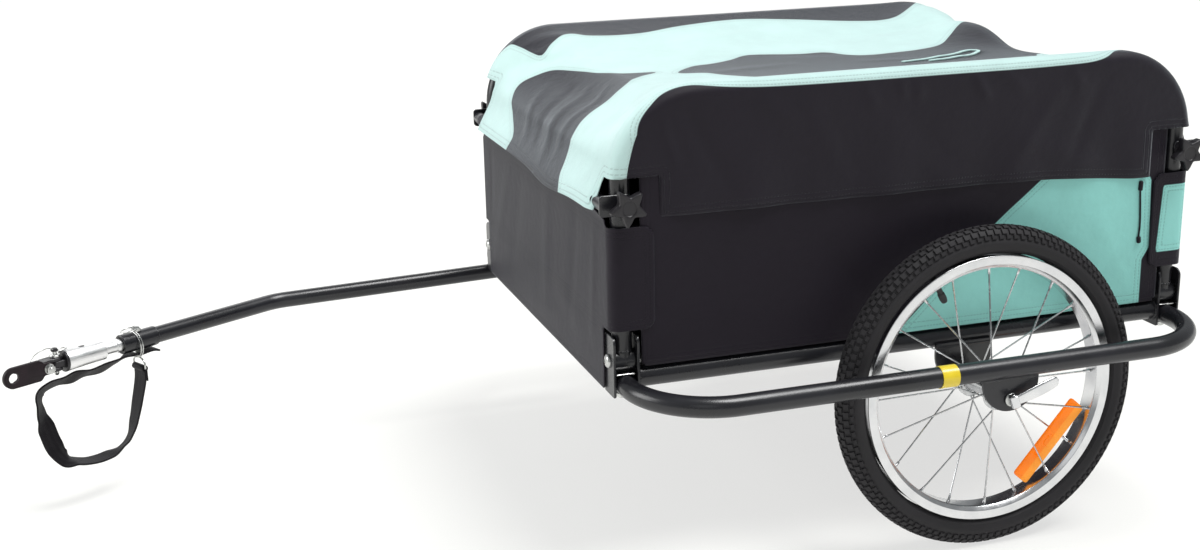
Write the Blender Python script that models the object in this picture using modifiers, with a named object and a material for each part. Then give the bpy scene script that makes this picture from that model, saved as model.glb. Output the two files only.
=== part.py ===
"""Bicycle cargo trailer: folding hoops over a fabric box, offset drawbar and ball-pin hitch.

Metres, +X to the hitch, +Y to the left, +Z up. Everything is placed from the ground point
midway between the wheels, under the axle; FRAME_X then moves that to the middle of the length.
"""
import math

import bmesh
import bpy
from mathutils import Vector

SEAT = 0.0003           # gap between pieces that touch
RUN = 0.0003            # radial clearance of a turning fit
SLIDE = 0.0005          # clearance of a loose bolt or pin

# Wheels, 16 inch
WHEEL_Y = 0.33845
RIM_R = 0.160
RIM_DEPTH = 0.0155
RIM_HALF = 0.0154
TYRE_HEIGHT = 0.0338    # tread over the rim's lip
TYRE_SECTION = 0.0179
TYRE_WALL = 0.003
TUBE_PLAY = 0.0014      # between the inner tube and the tyre
CAMBER = math.radians(3)
RIM_INNER_R = RIM_R - RIM_DEPTH
TYRE_R = RIM_R + TYRE_HEIGHT
TUBE_SECTION = TYRE_SECTION - TYRE_WALL - TUBE_PLAY
AXLE_Z = TYRE_R * math.cos(CAMBER)

# Base frame
RAIL_Y = 0.2722
RAIL_OVER_AXLE = 0.0445
RAIL_Z = AXLE_Z + RAIL_OVER_AXLE
RAIL_R = 0.0127
CROSS_R = 0.011
CROSS_INSET = 0.014     # cross tube's axis from the rail's end
LEG_Y = 0.270
LEG_FRONT_X = 0.427
LEG_REAR_X = -0.288

# Corner brackets: a channel, open below the leg only to the outside
PLATE = 0.003
CHANNEL_HALF = 0.0126
BRACKET_HALF_Y = 0.017
PIVOT_Z = RAIL_Z + 0.021
BRACKET_TOP_Z = PIVOT_Z + 0.031
BRACKET_BOTTOM_Z = RAIL_Z - 0.019
BOLT_R = 0.004

# Wheel guards
GUARD_Y = 0.386
GUARD_Z = RAIL_Z - 0.006
GUARD_R = 0.012
GUARD_BEND = 0.095
BAND_X = 0.080
BAND_LENGTH = 0.021
BAND_WALL = 0.0006
NUT_PLATE = 0.0016
NUT_PLATE_HALF_Y = 0.0135
HEAD = 0.0048
HEAD_ACROSS = 0.013
DOME_R = 0.0078
BOLT_END = 0.0053       # pivot bolt past the bracket's inner face

# Folding hoops
HOOP_R = 0.0115
HOOP_HEIGHT = 0.293     # tube's axis over the pivot
HOOP_TOP_Z = PIVOT_Z + HOOP_HEIGHT
HOOP_BEND = 0.090
KNUCKLE_R = 0.0125
STUD_R = 0.003
STUD_PLAY = 0.0008
STUD_DEPTH = 0.012

# Cross bars and star knobs
BAR_R = 0.008
BAR_DROP = 0.111        # below the hoop's top
BAR_Z = HOOP_TOP_Z - BAR_DROP
TAB = 0.003
TAB_HALF_Z = 0.012
KNOB_BOSS_R = 0.008
KNOB_BOSS = 0.0095
KNOB_THICK = 0.011
KNOB_TIP_R = 0.0215
KNOB_WAIST_R = 0.0125
KNOB_POINTS = 5

# Fabric
CLOTH = 0.002
FLOOR = 0.005
PANEL_BOTTOM_Z = RAIL_Z + 0.0145
HEM_Z = BAR_Z - 0.023
WALL_BOTTOM_Z = RAIL_Z - 0.016
WALL_CORNER = 0.014
WALL_LOWER_HALF_Y = 0.259
FLAP_BOTTOM_Z = WALL_BOTTOM_Z + 0.075
FLAP_TOP_Z = BAR_Z - 0.026
FLAP_LENGTH = 0.052
COVER_EASE = 0.0013     # over the hoop tube's outer side
COVER_SAG = 0.030
COVER_SLOPE = 0.022
COVER_EDGE = 0.012
COVER_END_ANGLE = 97
NOTCH_X = 0.035
NOTCH_Y = 0.024
NOTCH_TOP_Z = BAR_Z + 0.029

# Axle, hub and spokes
LOCKNUT = 0.0986        # over the axle's lock nuts
DROPOUT = 0.0999        # between the axle plates
AXLE_PLATE = 0.0045
AXLE_PLATE_DROP = 0.012
AXLE_R = 0.005
SKEWER_R = 0.0024
FLANGE_OFFSET = 0.029
FLANGE_R = 0.0205
FLANGE = 0.003
HUB_R = 0.012
SPOKES = 20
WHEEL_STEPS = 36         # facets round the tyre, inner tube and rim
VALVE_ANGLE = math.radians(63)
VALVE_LENGTH = 0.022
VALVE_R = 0.0035
SPOKE_R = 0.001
SPOKE_HOLE_R = 0.0172
SPOKE_CROSS = 1.5       # spoke spacings between a spoke's two ends
SPOKE_SPLAY = 0.003
HUB_END = 0.0385
REFLECTOR_R = RIM_INNER_R - 0.0255
REFLECTOR_ANGLE = math.radians(222.3)
REFLECTOR_HALF = 0.058
REFLECTOR_WIDTH = 0.024
REFLECTOR_THICK = 0.004
CLIP_R = 0.0018
CLIPPED_SPOKES = (12, 13)
INNER_PLATE_R = 0.038
OUTER_PLATE_R = 0.036
PLATE_LEAN = 0.0002     # room for the wheel's lean where the skewer meets an axle plate
LEVER_LENGTH = 0.060
LEVER_HALF = 0.0075
LEVER_THICK = 0.004
LEVER_CORNER = 0.006
LEVER_RISE = math.radians(18)
LEVER_BARREL_R = 0.0055
CUP = 0.0025
CUP_R = 0.008
SKEWER_NUT = 0.010

# Drawbar and socket
BAR_Y = 0.310
DRAWBAR_R = 0.011
DROOP = math.radians(1.76)
BEND_X = 0.7464
BEND_Z = RAIL_Z - 0.040
BEND_R = 0.060
TURN = math.radians(29.7)
SECOND_LEG = 0.247
SOCKET_REAR_X = 0.262
SOCKET_FRONT_X = 0.385
SOCKET_WALL = 0.0022
GUSSET = 0.006
SOCKET_PIN_R = 0.003

# Hitch, measured along its axis forward from the bend
LOCK_PIN_AT = 0.222
LOCK_PIN_REACH = 0.022
RING_R = 0.008
RING_WIRE = 0.0012
COLLAR = 0.0018
COLLAR_START = 0.196
COUPLER_R = 0.0075
COUPLER_REAR = 0.170
CYLINDER_REAR = 0.272
CYLINDER_FRONT = 0.325
CYLINDER_R = 0.0128
COUPLER_FRONT = 0.312
CAP_LENGTH = 0.003
YAW_AT = 0.339
FORK_R = 0.008
TONGUE_HALF = 0.004
FORK_THICK = 0.0045
PIN_R = 0.0032
WEB_LENGTH = 0.0135
WEB_HALF = 0.007
HITCH_BOLT_AT = 0.355
PLATE_THICK = 0.005
PLATE_HALF = 0.0135
PLATE_HOLE_AT = 0.402
PLATE_HOLE_R = 0.0066
SEAT_PAD_R = 0.0115     # raised face round the hole, on both sides
SEAT_PAD = 0.0004
STRAP_WIDTH = 0.025
STRAP_THICK = 0.0022
STRAP_FROM = 0.397      # where along the hitch the route's distances start

HITCH_TIP = PLATE_HOLE_AT + PLATE_HALF
PLATE_NEAR_SIDE = WEB_HALF + SEAT
FRONT_TIP_X = BEND_X + HITCH_TIP * math.cos(TURN) - PLATE_NEAR_SIDE * math.sin(TURN)
BAR_OUT = HOOP_R + SLIDE + BAR_R
REAR_TIP_X = LEG_REAR_X - BAR_OUT - BAR_R
FRAME_X = -(FRONT_TIP_X + REAR_TIP_X) / 2

BLACK = "#17171a"
PAINT = ("painted steel", BLACK, 0.38, 0.0)
ZINC = ("zinc plated steel", "#c9c9c6", 0.3, 1.0)
ALLOY = ("brushed aluminium", "#d9dadb", 0.28, 1.0)
PLASTIC = ("black plastic", "#141416", 0.5, 0.0)
RUBBER = ("tyre rubber", "#1d1c1d", 0.85, 0.0)
MINT = ("mint coated cloth", "#86cfc4", 0.6, 0.0)
BLACK_CLOTH = ("black cloth", "#26262a", 0.8, 0.0)
YELLOW = ("yellow film", "#f2d21b", 0.4, 0.0)
ORANGE = ("orange reflector", "#f26a12", 0.2, 0.0)
WEBBING = ("black webbing", "#222126", 0.75, 0.0)

for scene_object in list(bpy.data.objects):
    bpy.data.objects.remove(scene_object, do_unlink=True)


def new_collection(name):
    collection = bpy.data.collections.new(name)
    bpy.context.scene.collection.children.link(collection)
    return collection


PARTS = new_collection("bike_cargo_trailer")
CUTTERS = new_collection("cutters")


def material(finish):
    """Principled material from (name, sRGB hex, roughness, metallic), made once for each name."""
    name, hex_colour, roughness, metallic = finish
    if name in bpy.data.materials:
        return bpy.data.materials[name]
    made = bpy.data.materials.new(name)
    made.use_nodes = True
    shader = made.node_tree.nodes["Principled BSDF"]
    channels = [int(hex_colour[i:i + 2], 16) / 255 for i in (1, 3, 5)]
    linear = [c / 12.92 if c <= 0.04045 else ((c + 0.055) / 1.055) ** 2.4 for c in channels]
    shader.inputs["Base Color"].default_value = (*linear, 1)
    shader.inputs["Roughness"].default_value = roughness
    shader.inputs["Metallic"].default_value = metallic
    return made


def empty(name, parent=None, location=(0, 0, 0), rotation=(0, 0, 0)):
    axis = bpy.data.objects.new(name, None)
    PARTS.objects.link(axis)
    axis.parent = parent
    axis.location = location
    axis.rotation_euler = rotation
    return axis


def take(shape, name, finish, parent, collection=PARTS):
    """Names a shape, gives it its material and parent, and moves it to its collection."""
    shape.name = name
    for user in list(shape.users_collection):
        user.objects.unlink(shape)
    collection.objects.link(shape)
    shape.parent = parent
    shape.data.materials.clear()
    shape.data.materials.append(material(finish))
    return shape


def smooth(shape, angle=35):
    shape.data.shade_smooth()
    shape.data.set_sharp_from_angle(angle=math.radians(angle))
    return shape


def bake(shape):
    """Applies an object's modifiers and its own transform, so that it can be cut or joined."""
    bpy.context.view_layer.update()
    evaluated = shape.evaluated_get(bpy.context.evaluated_depsgraph_get())
    mesh = bpy.data.meshes.new_from_object(evaluated)
    solid = bpy.data.objects.new(shape.name, mesh)
    mesh.transform(shape.matrix_basis)
    bm = bmesh.new()
    bm.from_mesh(mesh)
    bmesh.ops.remove_doubles(bm, verts=bm.verts, dist=1e-5)
    bmesh.ops.recalc_face_normals(bm, faces=bm.faces)
    bm.to_mesh(mesh)
    bm.free()
    bpy.context.scene.collection.objects.link(solid)
    bpy.data.objects.remove(shape, do_unlink=True)
    return solid


def combine(shape, others, operation):
    """Boolean of a shape with each of the others, which are used up."""
    shape = bake(shape)
    for other in others:
        tool = take(bake(other), "tool", PAINT, None, CUTTERS)
        tool.hide_render = True
        tool.display_type = "WIRE"
        step = shape.modifiers.new("step", "BOOLEAN")
        step.operation = operation
        step.solver = "EXACT"
        step.object = tool
        shape = bake(shape)
        bpy.data.objects.remove(tool, do_unlink=True)
    return shape


def join(shape, *others):
    return combine(shape, others, "UNION")


def cut(shape, *others):
    return combine(shape, others, "DIFFERENCE")


def box(centre, size):
    bpy.ops.mesh.primitive_cube_add(size=1, location=centre)
    shape = bpy.context.object
    shape.scale = size
    return bake(shape)


def rod(radius, start, end, sides=16):
    """Cylinder between two points."""
    start = Vector(start)
    run = Vector(end) - start
    bpy.ops.mesh.primitive_cylinder_add(vertices=sides, radius=radius, depth=run.length)
    shape = bpy.context.object
    shape.location = start + run / 2
    shape.rotation_mode = "QUATERNION"
    shape.rotation_quaternion = run.to_track_quat("Z", "Y")
    return bake(shape)


def turned(profile, steps=32, axis="Z"):
    """Solid of revolution. The profile is (radius, height) pairs, outer side from top to bottom."""
    mesh = bpy.data.meshes.new("profile")
    points = [(radius, 0, height) for radius, height in profile]
    closed = profile[0][0] > 0 and profile[-1][0] > 0
    edges = [(i, i + 1) for i in range(len(points) - 1)]
    if closed:
        edges.append((len(points) - 1, 0))
    mesh.from_pydata(points, edges, [])
    shape = bpy.data.objects.new("turned", mesh)
    bpy.context.scene.collection.objects.link(shape)
    screw = shape.modifiers.new("turn", "SCREW")
    screw.steps = steps
    screw.render_steps = steps
    screw.use_merge_vertices = True
    screw.merge_threshold = 1e-5
    screw.use_normal_calculate = True
    if axis == "Y":
        shape.rotation_euler = (-math.pi / 2, 0, 0)
    if axis == "X":
        shape.rotation_euler = (0, math.pi / 2, 0)
    return bake(shape)


def tube(points, radius, rings=3):
    """Round bar along a path, with 4 + 2 * rings sides."""
    curve = bpy.data.curves.new("path", "CURVE")
    curve.dimensions = "3D"
    curve.bevel_depth = radius
    curve.bevel_resolution = rings
    curve.use_fill_caps = True
    curve.render_resolution_u = 0
    spline = curve.splines.new("POLY")
    spline.points.add(len(points) - 1)
    for target, point in zip(spline.points, points):
        target.co = (*point, 1)
    shape = bpy.data.objects.new("tube", curve)
    bpy.context.scene.collection.objects.link(shape)
    return bake(shape)


def flat(outline, thickness, plane="XZ", holes=()):
    """Plate from a closed outline, centred on its plane. A hole is (centre, radius)."""
    curve = bpy.data.curves.new("outline", "CURVE")
    curve.dimensions = "2D"
    curve.fill_mode = "BOTH"
    curve.extrude = thickness / 2
    curve.render_resolution_u = 0
    rings = [outline] + [arc(centre, radius, 0, 360, 16)[:-1] for centre, radius in holes]
    for ring in rings:
        spline = curve.splines.new("POLY")
        spline.points.add(len(ring) - 1)
        for target, (u, v) in zip(spline.points, ring):
            target.co = (u, v, 0, 1)
        spline.use_cyclic_u = True
    shape = bpy.data.objects.new("flat", curve)
    bpy.context.scene.collection.objects.link(shape)
    turns = {"XY": (0, 0, 0), "XZ": (math.pi / 2, 0, 0), "YZ": (math.pi / 2, 0, math.pi / 2)}
    shape.rotation_euler = turns[plane]
    return bake(shape)


def arc(centre, radius, start, end, steps):
    """Points (u, v) on a circle between two angles in degrees."""
    angles = [math.radians(start + (end - start) * i / steps) for i in range(steps + 1)]
    return [(centre[0] + radius * math.cos(a), centre[1] + radius * math.sin(a)) for a in angles]


def moved(shape, offset):
    shape.location = Vector(offset)
    return bake(shape)


def loft(rings):
    """Skin through rings of equally many points, closed at both ends."""
    bm = bmesh.new()
    rows = [[bm.verts.new(point) for point in ring] for ring in rings]
    count = len(rings[0])
    for row, above in zip(rows, rows[1:]):
        for i in range(count):
            bm.faces.new((row[i], row[(i + 1) % count], above[(i + 1) % count], above[i]))
    bm.faces.new(rows[0][::-1])
    bm.faces.new(rows[-1])
    mesh = bpy.data.meshes.new("loft")
    bm.to_mesh(mesh)
    bm.free()
    shape = bpy.data.objects.new("loft", mesh)
    bpy.context.scene.collection.objects.link(shape)
    return bake(shape)


def smooth_path(points, per_span=4):
    """Catmull-Rom curve through the points."""
    points = [Vector(p) for p in points]
    ends = [2 * points[0] - points[1]] + points + [2 * points[-1] - points[-2]]
    path = []
    for a, b, c, d in zip(ends, ends[1:], ends[2:], ends[3:]):
        for i in range(per_span):
            t = i / per_span
            path.append(0.5 * (2 * b + (c - a) * t + (2 * a - 5 * b + 4 * c - d) * t ** 2
                               + (3 * b - a - 3 * c + d) * t ** 3))
    return path + [points[-1]]


LENGTH_AXIS = empty("trailer", location=(FRAME_X, 0, 0))
HALF_PLATES = CHANNEL_HALF + PLATE
PLATE_MIDDLE = (DROPOUT + AXLE_PLATE) / 2
CORNERS = [("front", LEG_FRONT_X, 1), ("rear", LEG_REAR_X, -1)]
SIDES = [("left", 1), ("right", -1)]
RAIL_FRONT_X = LEG_FRONT_X - HALF_PLATES - SEAT
RAIL_REAR_X = LEG_REAR_X + HALF_PLATES + SEAT


def axle_plate(y, top_z, low_z, radius, hole_z):
    """Plate with a half-round lower end and a hole for the skewer."""
    outline = [(radius, top_z)] + arc((0, low_z + radius), radius, 0, -180, 14) + [(-radius, top_z)]
    plate = flat(outline, AXLE_PLATE, "XZ", [((0, hole_z), SKEWER_R + SLIDE)])
    return moved(plate, (0, y, 0))


def base_frame():
    """Rails, cross tubes and the inner axle plates, welded together."""
    rails = [rod(RAIL_R, (RAIL_REAR_X, side * RAIL_Y, RAIL_Z), (RAIL_FRONT_X, side * RAIL_Y, RAIL_Z))
             for _, side in SIDES]
    crosses = [rod(CROSS_R, (x, -RAIL_Y, RAIL_Z), (x, RAIL_Y, RAIL_Z))
               for x in (RAIL_FRONT_X - CROSS_INSET, RAIL_REAR_X + CROSS_INSET)]
    plates = [axle_plate(side * (WHEEL_Y - PLATE_MIDDLE), RAIL_Z - RAIL_R / 3, AXLE_Z - AXLE_PLATE_DROP,
                         INNER_PLATE_R, AXLE_Z - DROPOUT / 2 * math.sin(CAMBER))
              for _, side in SIDES]
    smooth(take(join(rails[0], rails[1], *crosses, *plates), "base_frame", PAINT, LENGTH_AXIS))


def corner_brackets():
    """A U in plan, standing; its web stops under the leg so that the leg can fold inward."""
    web_top = GUARD_Z + GUARD_R + SEAT
    for end, x, _ in CORNERS:
        for name, side in SIDES:
            inner = side * (LEG_Y - BRACKET_HALF_Y)
            outer = side * (LEG_Y + BRACKET_HALF_Y)
            web = inner + side * PLATE
            outline = [(x - HALF_PLATES, outer), (x - HALF_PLATES, inner), (x + HALF_PLATES, inner),
                       (x + HALF_PLATES, outer), (x + CHANNEL_HALF, outer), (x + CHANNEL_HALF, web),
                       (x - CHANNEL_HALF, web), (x - CHANNEL_HALF, outer)]
            height = BRACKET_TOP_Z - BRACKET_BOTTOM_Z
            shape = moved(flat(outline, height, "XY"), (0, 0, BRACKET_BOTTOM_Z + height / 2))
            window = box((x, inner, web_top + height / 2), (2 * CHANNEL_HALF, 4 * PLATE, height))
            hole = rod(BOLT_R + SEAT, (x - 2 * HALF_PLATES, side * LEG_Y, PIVOT_Z),
                       (x + 2 * HALF_PLATES, side * LEG_Y, PIVOT_Z))
            take(cut(shape, window, hole), f"corner_bracket_{end}_{name}", PAINT, LENGTH_AXIS)


def guards():
    """Bar round the outside of each wheel, its ends clamped in the corner brackets."""
    for name, side in SIDES:
        end_y = LEG_Y - BRACKET_HALF_Y + PLATE + SEAT
        bend_y = GUARD_Y - GUARD_BEND
        front = arc((LEG_FRONT_X - GUARD_BEND, bend_y), GUARD_BEND, 0, 90, 7)
        rear = arc((LEG_REAR_X + GUARD_BEND, bend_y), GUARD_BEND, 90, 180, 7)
        plan = [(LEG_FRONT_X, end_y)] + front + rear + [(LEG_REAR_X, end_y)]
        shape = tube([(x, side * y, GUARD_Z) for x, y in plan], GUARD_R)
        holes = [rod(BOLT_R + SEAT, (x, side * LEG_Y, GUARD_Z - 2 * GUARD_R),
                     (x, side * LEG_Y, GUARD_Z + 2 * GUARD_R), 12) for _, x, _ in CORNERS]
        plate = axle_plate(side * (WHEEL_Y + PLATE_MIDDLE), GUARD_Z - GUARD_R / 2,
                           AXLE_Z - AXLE_PLATE_DROP, OUTER_PLATE_R,
                           AXLE_Z + DROPOUT / 2 * math.sin(CAMBER))
        smooth(take(cut(join(shape, plate), *holes), f"guard_{name}", PAINT, LENGTH_AXIS))
        inner = GUARD_R + SEAT
        outer = inner + BAND_WALL
        half = BAND_LENGTH / 2
        band = turned([(outer, half), (outer, -half), (inner, -half), (inner, half)], 18, "X")
        band = moved(band, (BAND_X, side * GUARD_Y, GUARD_Z))
        smooth(take(band, f"guard_band_{name}", YELLOW, LENGTH_AXIS))


def hexagon(across, thickness, centre, plane):
    radius = across / math.sqrt(3)
    return moved(flat(arc((0, 0), radius, 0, 360, 6)[:-1], thickness, plane), centre)


def guard_bolts():
    """Upright bolt from below each guard end, in the nut plate that lies on the tube."""
    plate_z = GUARD_Z + GUARD_R + SEAT
    for end, x, _ in CORNERS:
        for name, side in SIDES:
            y = side * LEG_Y
            plate = box((x, y, plate_z + NUT_PLATE / 2),
                        (2 * CHANNEL_HALF - 4 * SEAT, 2 * NUT_PLATE_HALF_Y, NUT_PLATE))
            head_z = GUARD_Z - GUARD_R - SEAT - HEAD / 2
            head = hexagon(HEAD_ACROSS, HEAD, (x, y, head_z), "XY")
            shank = rod(BOLT_R, (x, y, head_z), (x, y, plate_z + NUT_PLATE / 2), 12)
            bolt = take(join(head, shank, plate), f"guard_bolt_{end}_{name}", ZINC, LENGTH_AXIS)
            smooth(bolt)


def pivot_bolts():
    """Bolt lengthwise through each bracket and leg: domed head outside, nut inside."""
    face = HALF_PLATES + SEAT
    dome = [(0, face + HEAD), (0.5 * DOME_R, face + 0.9 * HEAD), (0.85 * DOME_R, face + 0.6 * HEAD),
            (DOME_R, face), (BOLT_R, face), (BOLT_R, -face - BOLT_END), (0, -face - BOLT_END)]
    for end, x, outward in CORNERS:
        for name, side in SIDES:
            nut = hexagon(HEAD_ACROSS, HEAD, (-face - HEAD / 2, 0, 0), "YZ")
            bolt = join(turned(dome, 12, "X"), nut)
            if outward < 0:
                bolt.rotation_euler = (0, 0, math.pi)
            bolt.location = (x, side * LEG_Y, PIVOT_Z)
            smooth(take(bake(bolt), f"pivot_bolt_{end}_{name}", ZINC, LENGTH_AXIS))


def hoops():
    """Inverted U on each side that folds inward about its two pivot bolts."""
    top = HOOP_TOP_Z - PIVOT_Z
    for name, side in SIDES:
        axis = empty(f"hoop_{name}_pivot", LENGTH_AXIS, (0, side * LEG_Y, PIVOT_Z))
        front = arc((LEG_FRONT_X - HOOP_BEND, top - HOOP_BEND), HOOP_BEND, 0, 90, 6)
        rear = arc((LEG_REAR_X + HOOP_BEND, top - HOOP_BEND), HOOP_BEND, 90, 180, 6)
        plan = [(LEG_FRONT_X, 0)] + front + rear + [(LEG_REAR_X, 0)]
        shape = tube([(x, 0, z) for x, z in plan], HOOP_R)
        knuckles = []
        holes = []
        for _, x, _ in CORNERS:
            half = CHANNEL_HALF - SEAT
            knuckles.append(rod(KNUCKLE_R, (x - half, 0, 0), (x + half, 0, 0)))
            holes.append(rod(BOLT_R + RUN, (x - 2 * half, 0, 0), (x + 2 * half, 0, 0)))
            stud_z = BAR_Z - PIVOT_Z
            holes.append(rod(STUD_R + STUD_PLAY, (x, side * (HOOP_R - STUD_DEPTH), stud_z),
                             (x, side * 2 * HOOP_R, stud_z), 12))
        shape = cut(join(shape, *knuckles), *holes)
        smooth(take(shape, f"hoop_{name}", PAINT, axis))
        side_panel(name, side, axis)


def side_panel(name, side, axis):
    """Cloth side hung on the outside of its hoop, between the corner brackets."""
    front_x = LEG_FRONT_X - HALF_PLATES - PLATE
    rear_x = LEG_REAR_X + HALF_PLATES + PLATE
    corner = HOOP_BEND - (LEG_FRONT_X - front_x)
    bottom = PANEL_BOTTOM_Z - PIVOT_Z
    top = HOOP_TOP_Z - PIVOT_Z
    outline = ([(rear_x, bottom), (front_x, bottom)]
               + arc((front_x - corner, top - corner), corner, 0, 90, 6)
               + arc((rear_x + corner, top - corner), corner, 90, 180, 6))
    shape = moved(flat(outline, CLOTH), (0, side * (HOOP_R + SEAT + CLOTH / 2), 0))
    take(shape, f"side_panel_{name}", MINT, axis)


def floor_panel():
    """Panel lying on both rails, short of the pivot bolts' ends."""
    top = RAIL_Z + RAIL_R + SEAT
    length = RAIL_FRONT_X - RAIL_REAR_X - 2 * (BOLT_END + SLIDE)
    middle = (RAIL_FRONT_X + RAIL_REAR_X) / 2
    take(box((middle, 0, top + FLOOR / 2), (length, 2 * RAIL_Y, FLOOR)),
         "floor_panel", BLACK_CLOTH, LENGTH_AXIS)


def end_walls():
    """Front and rear cloth walls, wrapped round the legs into a short flap on each side."""
    flap_y = LEG_Y + HOOP_R + CLOTH + 3 * SEAT + CLOTH
    for end, leg_x, outward in CORNERS:
        face = HALF_PLATES + SEAT + CLOTH
        corner = (face - WALL_CORNER, flap_y - WALL_CORNER)
        outer = [(face - FLAP_LENGTH, flap_y)] + arc(corner, WALL_CORNER, 90, 0, 5)
        inner = [(face - FLAP_LENGTH, flap_y - CLOTH)] + arc(corner, WALL_CORNER - CLOTH, 90, 0, 5)
        plan = outer + [(u, -v) for u, v in reversed(outer)]
        plan += [(u, -v) for u, v in inner] + inner[::-1]
        outline = [(leg_x + outward * u, v) for u, v in plan]
        height = BAR_Z - BAR_R - SEAT - WALL_BOTTOM_Z
        shape = moved(flat(outline, height, "XY"), (0, 0, WALL_BOTTOM_Z + height / 2))
        cutters = []
        for _, side in SIDES:
            low = (WALL_LOWER_HALF_Y, WALL_BOTTOM_Z - CLOTH, FLAP_BOTTOM_Z)
            high = (LEG_Y, FLAP_TOP_Z, BAR_Z)
            for start_y, start_z, end_z in (low, high):
                width = 2 * (flap_y - start_y)
                cutters.append(box((leg_x, side * (start_y + width / 2), (start_z + end_z) / 2),
                                   (3 * FLAP_LENGTH, width, end_z - start_z)))
        take(cut(shape, *cutters), f"{end}_wall", BLACK_CLOTH, LENGTH_AXIS)


def cross_bars():
    """Bar through each wall's hem, with a tab on the outer face of each leg."""
    for end, leg_x, outward in CORNERS:
        bar_x = leg_x + outward * BAR_OUT
        tab_y = LEG_Y + HOOP_R + SLIDE
        shape = rod(BAR_R, (bar_x, -tab_y - TAB / 2, BAR_Z), (bar_x, tab_y + TAB / 2, BAR_Z))
        tabs = []
        holes = []
        inner_x = leg_x - outward * BAR_R
        outer_x = bar_x + outward * BAR_R
        for _, side in SIDES:
            y = side * (tab_y + TAB / 2)
            tabs.append(box(((inner_x + outer_x) / 2, y, BAR_Z),
                            (abs(outer_x - inner_x), TAB, 2 * TAB_HALF_Z)))
            holes.append(rod(STUD_R + SEAT, (leg_x, y - TAB, BAR_Z), (leg_x, y + TAB, BAR_Z), 12))
        take(cut(join(shape, *tabs), *holes), f"{end}_cross_bar", PAINT, LENGTH_AXIS)


def star_knobs():
    """Five-point knob whose stud reaches through the tab into a blind hole in the leg."""
    tips = []
    for i in range(2 * KNOB_POINTS):
        radius = KNOB_WAIST_R if i % 2 else KNOB_TIP_R
        tips.append((radius, math.pi * i / KNOB_POINTS + math.pi / 2))
    outline = [(r * math.cos(a), r * math.sin(a)) for r, a in tips]
    face = HOOP_R + SLIDE + TAB + SEAT
    stud_end = HOOP_R - STUD_DEPTH + SLIDE
    for end, leg_x, _ in CORNERS:
        for name, side in SIDES:
            axis = empty(f"star_knob_{end}_{name}_axis", LENGTH_AXIS, (leg_x, side * LEG_Y, BAR_Z))
            star = flat(outline, KNOB_THICK)
            edge = star.modifiers.new("round", "BEVEL")
            edge.width = KNOB_THICK / 5
            edge.segments = 1
            edge.limit_method = "ANGLE"
            edge.angle_limit = math.radians(30)
            star = moved(star, (0, side * (face + KNOB_BOSS + KNOB_THICK / 2), 0))
            boss = rod(KNOB_BOSS_R, (0, side * face, 0), (0, side * (face + KNOB_BOSS + KNOB_THICK / 2), 0))
            stud = rod(STUD_R, (0, side * stud_end, 0), (0, side * (face + KNOB_BOSS), 0), 12)
            smooth(take(join(star, boss, stud), f"star_knob_{end}_{name}", PLASTIC, axis))


def cover():
    """Cloth top stretched over both hoops: it sags between them and hollows at each end."""
    ridge = HOOP_BEND + HOOP_R + COVER_EASE + CLOTH
    side_y = LEG_Y + HOOP_R + 2 * CLOTH + 2 * SEAT + 0.0005
    bend_z = HOOP_TOP_Z - HOOP_BEND
    flat_y = LEG_Y - HOOP_R / 2
    angles = [COVER_END_ANGLE, 84, 70, 56, 42, 28, 14, 0]
    stations = [(LEG_FRONT_X - HOOP_BEND, 1, a) for a in angles]
    span = LEG_FRONT_X - LEG_REAR_X - 2 * HOOP_BEND
    stations += [(LEG_REAR_X + HOOP_BEND + span * t, 0, 0) for t in (0.8, 0.6, 0.4, 0.2)]
    stations += [(LEG_REAR_X + HOOP_BEND, -1, a) for a in reversed(angles)]
    rows = []
    for centre_x, outward, degrees in stations:
        a = math.radians(degrees)
        normal = Vector((outward * math.sin(a), 0, math.cos(a)))
        top = Vector((centre_x, 0, bend_z)) + ridge * normal
        hang_x = centre_x + outward * ((ridge - COVER_EDGE) * math.sin(min(a, math.pi / 2))
                                       + 0.014 * max(a - math.pi / 2, 0))
        sag = COVER_SAG * math.cos(a) ** 2 + COVER_SLOPE * math.sin(2 * a) ** 2
        if outward == 0:
            sag = COVER_SAG
        edge = top - COVER_EDGE * normal
        half = [Vector((hang_x, side_y, HEM_Z)), Vector((hang_x, side_y, (HEM_Z + edge.z) / 2)),
                Vector((hang_x, side_y, edge.z))]
        half.append(Vector((0, side_y - 0.3 * COVER_EDGE, 0)) + top - 0.3 * COVER_EDGE * normal)
        half.append(Vector((0, side_y - COVER_EDGE, 0)) + top)
        for share in (1, 0.75, 0.5, 0.25, 0):
            dip = sag * (1 - share ** 2)
            half.append(Vector((0, share * flat_y, 0)) + top - dip * normal)
        rows.append(half + [Vector((p.x, -p.y, p.z)) for p in reversed(half[:-1])])
    bm = bmesh.new()
    grid = [[bm.verts.new(p) for p in row] for row in rows]
    for row, behind in zip(grid, grid[1:]):
        for i in range(len(row) - 1):
            bm.faces.new((row[i], row[i + 1], behind[i + 1], behind[i]))
    mesh = bpy.data.meshes.new("cover")
    bm.to_mesh(mesh)
    bm.free()
    shape = bpy.data.objects.new("cover", mesh)
    bpy.context.scene.collection.objects.link(shape)
    shell = shape.modifiers.new("cloth", "SOLIDIFY")
    shell.thickness = CLOTH
    shell.offset = 1
    shape = bake(shape)
    cutters = []
    reach = NOTCH_X + WALL_CORNER + HOOP_R
    height = NOTCH_TOP_Z - HEM_Z + NOTCH_Y
    for _, leg_x, outward in CORNERS:
        for _, side in SIDES:
            centre_x = leg_x + outward * (reach / 2 - NOTCH_X)
            cutters.append(box((centre_x, side * side_y, NOTCH_TOP_Z - height / 2),
                               (reach, 2 * NOTCH_Y, height)))
    smooth(take(cut(shape, *cutters), "cover", MINT, LENGTH_AXIS), 50)


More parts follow.
